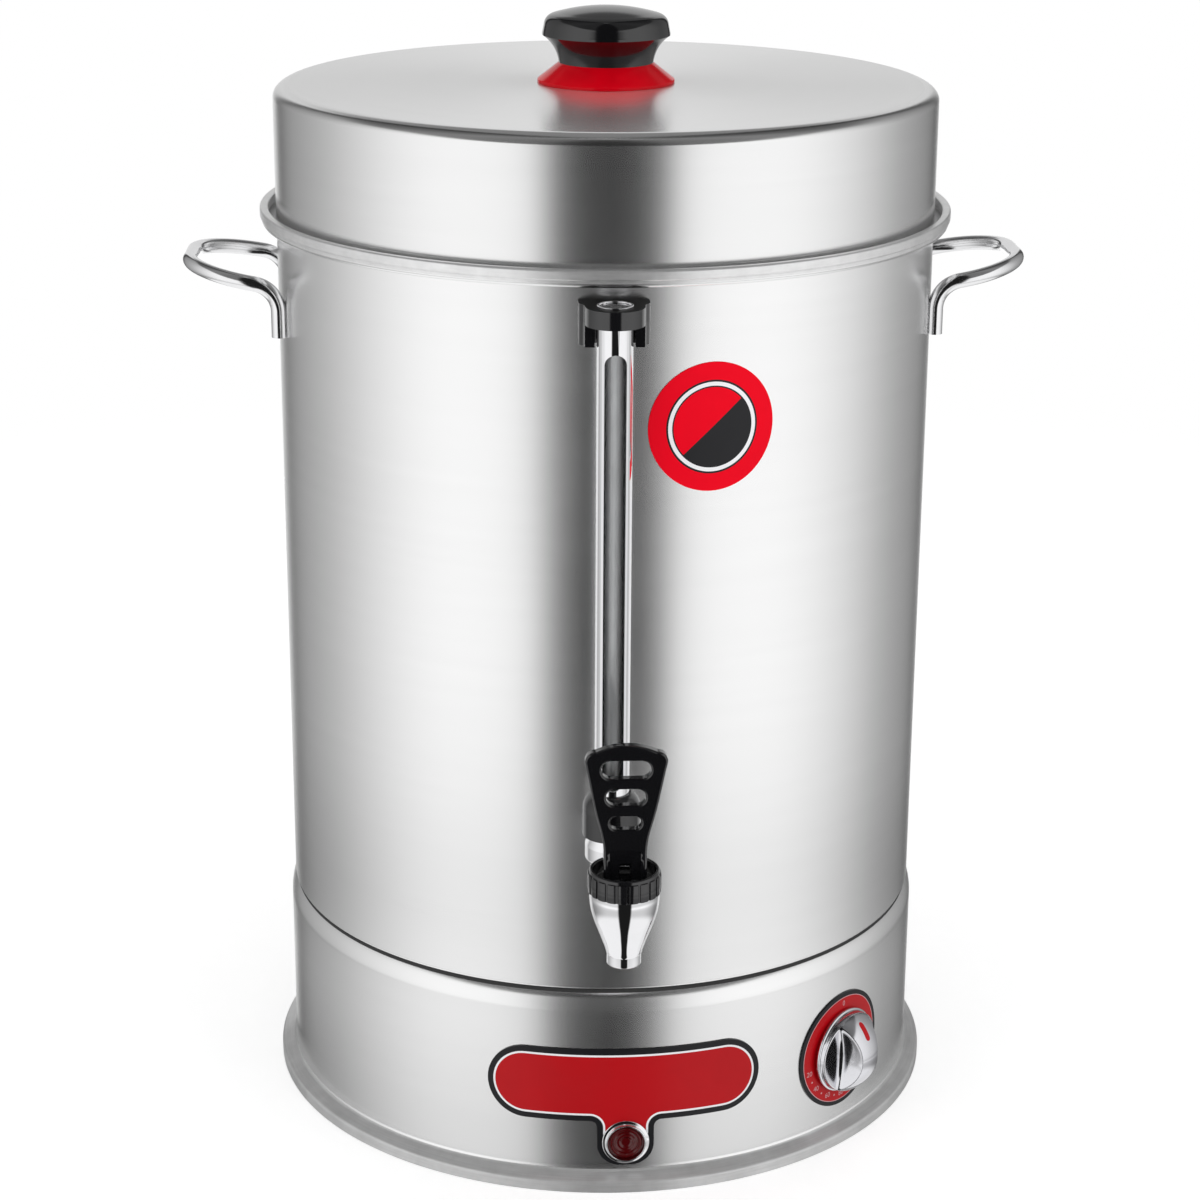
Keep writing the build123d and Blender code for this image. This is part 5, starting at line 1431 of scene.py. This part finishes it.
def knob_height(x, y):
    """The knob's height over a point of its face."""
    r = math.hypot(x, y)
    top = CROWN - CROWN_R + math.sqrt(max(CROWN_R ** 2 - r ** 2, 0.0))
    into = SCOOP_R - math.hypot(abs(x) - WAIST - SCOOP_R, y)
    floor = SCOOP_FLOOR + FLOOR_R - math.sqrt(FLOOR_R ** 2 - min(y * y, FLOOR_R ** 2))
    deep = step_up(into, -0.4, 1.3) * 0.82 + step_up(into, 0.3, 3.2) * 0.18
    height = top - deep * max(top - floor, 0.0)
    over = max(r - (KNOB_R - EDGE), 0.0) / EDGE
    return height - EDGE * (1 - math.sqrt(max(1 - over * over, 0.0)))


def knob_mesh():
    """Rings of points from the middle of the face out, down the side and back under it. The face's first
    ring is closed by a fan round a point in its middle."""
    radii = [0.15 * k for k in range(1, 143)] + [KNOB_R - 0.8 + 0.1 * k for k in range(1, 9)]
    rows = [[(p.x, p.y, knob_height(p.x, p.y)) for p in circle(radius, 360)] for radius in radii]
    rows += [[(p.x, p.y, z) for p in circle(radius, 360)] for radius, z in KNOB_SKIRT]
    mesh = skinned("control_knob", rows)
    with editing(mesh) as shell:
        shell.faces.ensure_lookup_table()
        bmesh.ops.poke(shell, faces=[shell.faces[-2]])
    smooth_but(outward(mesh), 50).materials.append(SATIN_CHROME)
    mesh.transform(DIAL_PLACE)
    return mesh


fit(linked("control_knob", knob_mesh()), "knob", "chrome", "thermostat_knob")

# %% [markdown]
# The pointer is a red inlay: a pill laid on the knob's dome, a hair above it, with a short edge into it.

# %% Pointer
POINTER_L, POINTER_W, POINTER_Y, POINTER_STEPS, POINTER_SINK = 8.8, 3.3, 15.0, 20, -0.3
POINTER_FACE = [(0.4, 0.12), (0.9, 0.1), (1, 0.04), (1.05, POINTER_SINK)]


def pointer_row(k):
    """The points across the pill at one step along it, sunk at its two ends."""
    along = -math.cos(math.pi * k / POINTER_STEPS) * POINTER_L / 2
    past = max(abs(along) - (POINTER_L - POINTER_W) / 2, 0.0)
    half, y = math.sqrt(max((POINTER_W / 2) ** 2 - past ** 2, 0.01)), POINTER_Y + along
    face = [(-share, lift) for share, lift in reversed(POINTER_FACE)] + POINTER_FACE
    if k in (0, POINTER_STEPS):
        face = [(share, POINTER_SINK) for share, lift in face]
    return [(half * share, y, knob_height(half * share, y) + lift) for share, lift in face]


pointer = skinned("pointer_inlay", [pointer_row(k) for k in range(POINTER_STEPS + 1)], ring=False, caps=False)
pointer.shade_smooth()
pointer.materials.append(PRINT_RED)
pointer.transform(DIAL_PLACE)
fit(linked("pointer_inlay", pointer), "knob", "red_plastic", "knob_pointer")

# %% [markdown]
# ## Pieces that keep the frame's shape
#
# The rest of the small pieces are right as they are, and get a merged copy in their finish. They are
# listed with the body they ride on and the slot they fill.

# %% Pieces in merged copies
COPIES = [
    ("floor_plate", ZINC, "urn", "zinc_steel"),
    ("floor_pillars", ZINC, "urn", "zinc_steel"),
    ("floor_screws", ZINC, "urn", "zinc_steel"),
    ("rubber_feet", RUBBER, "urn", "black_rubber"),
    ("heating_element", POLISHED, "urn", "stainless"),
    ("element_nuts", ZINC, "urn", "zinc_steel"),
    ("thermal_cutout", GREY_PLASTIC, "urn", "grey_plastic"),
    ("thermostat", GREY_PLASTIC, "urn", "grey_plastic"),
    ("thermostat_bulb", POLISHED, "urn", "polished_steel"),
    ("thermostat_shaft", ZINC, "knob", "zinc_steel"),
    ("lamp_body", GREY_PLASTIC, "urn", "grey_plastic"),
    ("terminal_block", WHITE_PLASTIC, "urn", "white_plastic"),
    ("cable_gland", BLACK_SATIN, "urn", "black_plastic"),
    ("shank_gaskets", SILICONE, "urn", "silicone"),
    ("shank_nut", CHROME, "urn", "chrome"),
    ("tap_stem", POLISHED, "stem", "polished_steel"),
    ("seat_cup", SILICONE, "stem", "silicone"),
    ("lever", BLACK, "lever", "black_plastic"),
    ("lever_pin", POLISHED, "lever", "polished_steel"),
    ("gauge_seal_lower", RUBBER, "urn", "black_rubber"),
    ("gauge_seal_upper", RUBBER, "urn", "black_rubber"),
    ("gauge_cap", CHROME, "urn", "chrome"),
    ("bracket_screws", ZINC, "urn", "zinc_steel"),
    ("knob_screw", ZINC, "lid", "zinc_steel"),
]
for node, finish, body, slot in COPIES:
    fit(merged_copy(node, finish), body, slot, node)

# %% [markdown]
# The spring inside the tap stays on the urn, but the seat cup rises under it as the stem lifts. It gets a
# merged copy, with a mesh that no other piece shares.

# %% Spring
spring = fit(merged_copy("tap_spring", POLISHED), "urn", "polished_steel", "tap_spring")
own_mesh(spring)
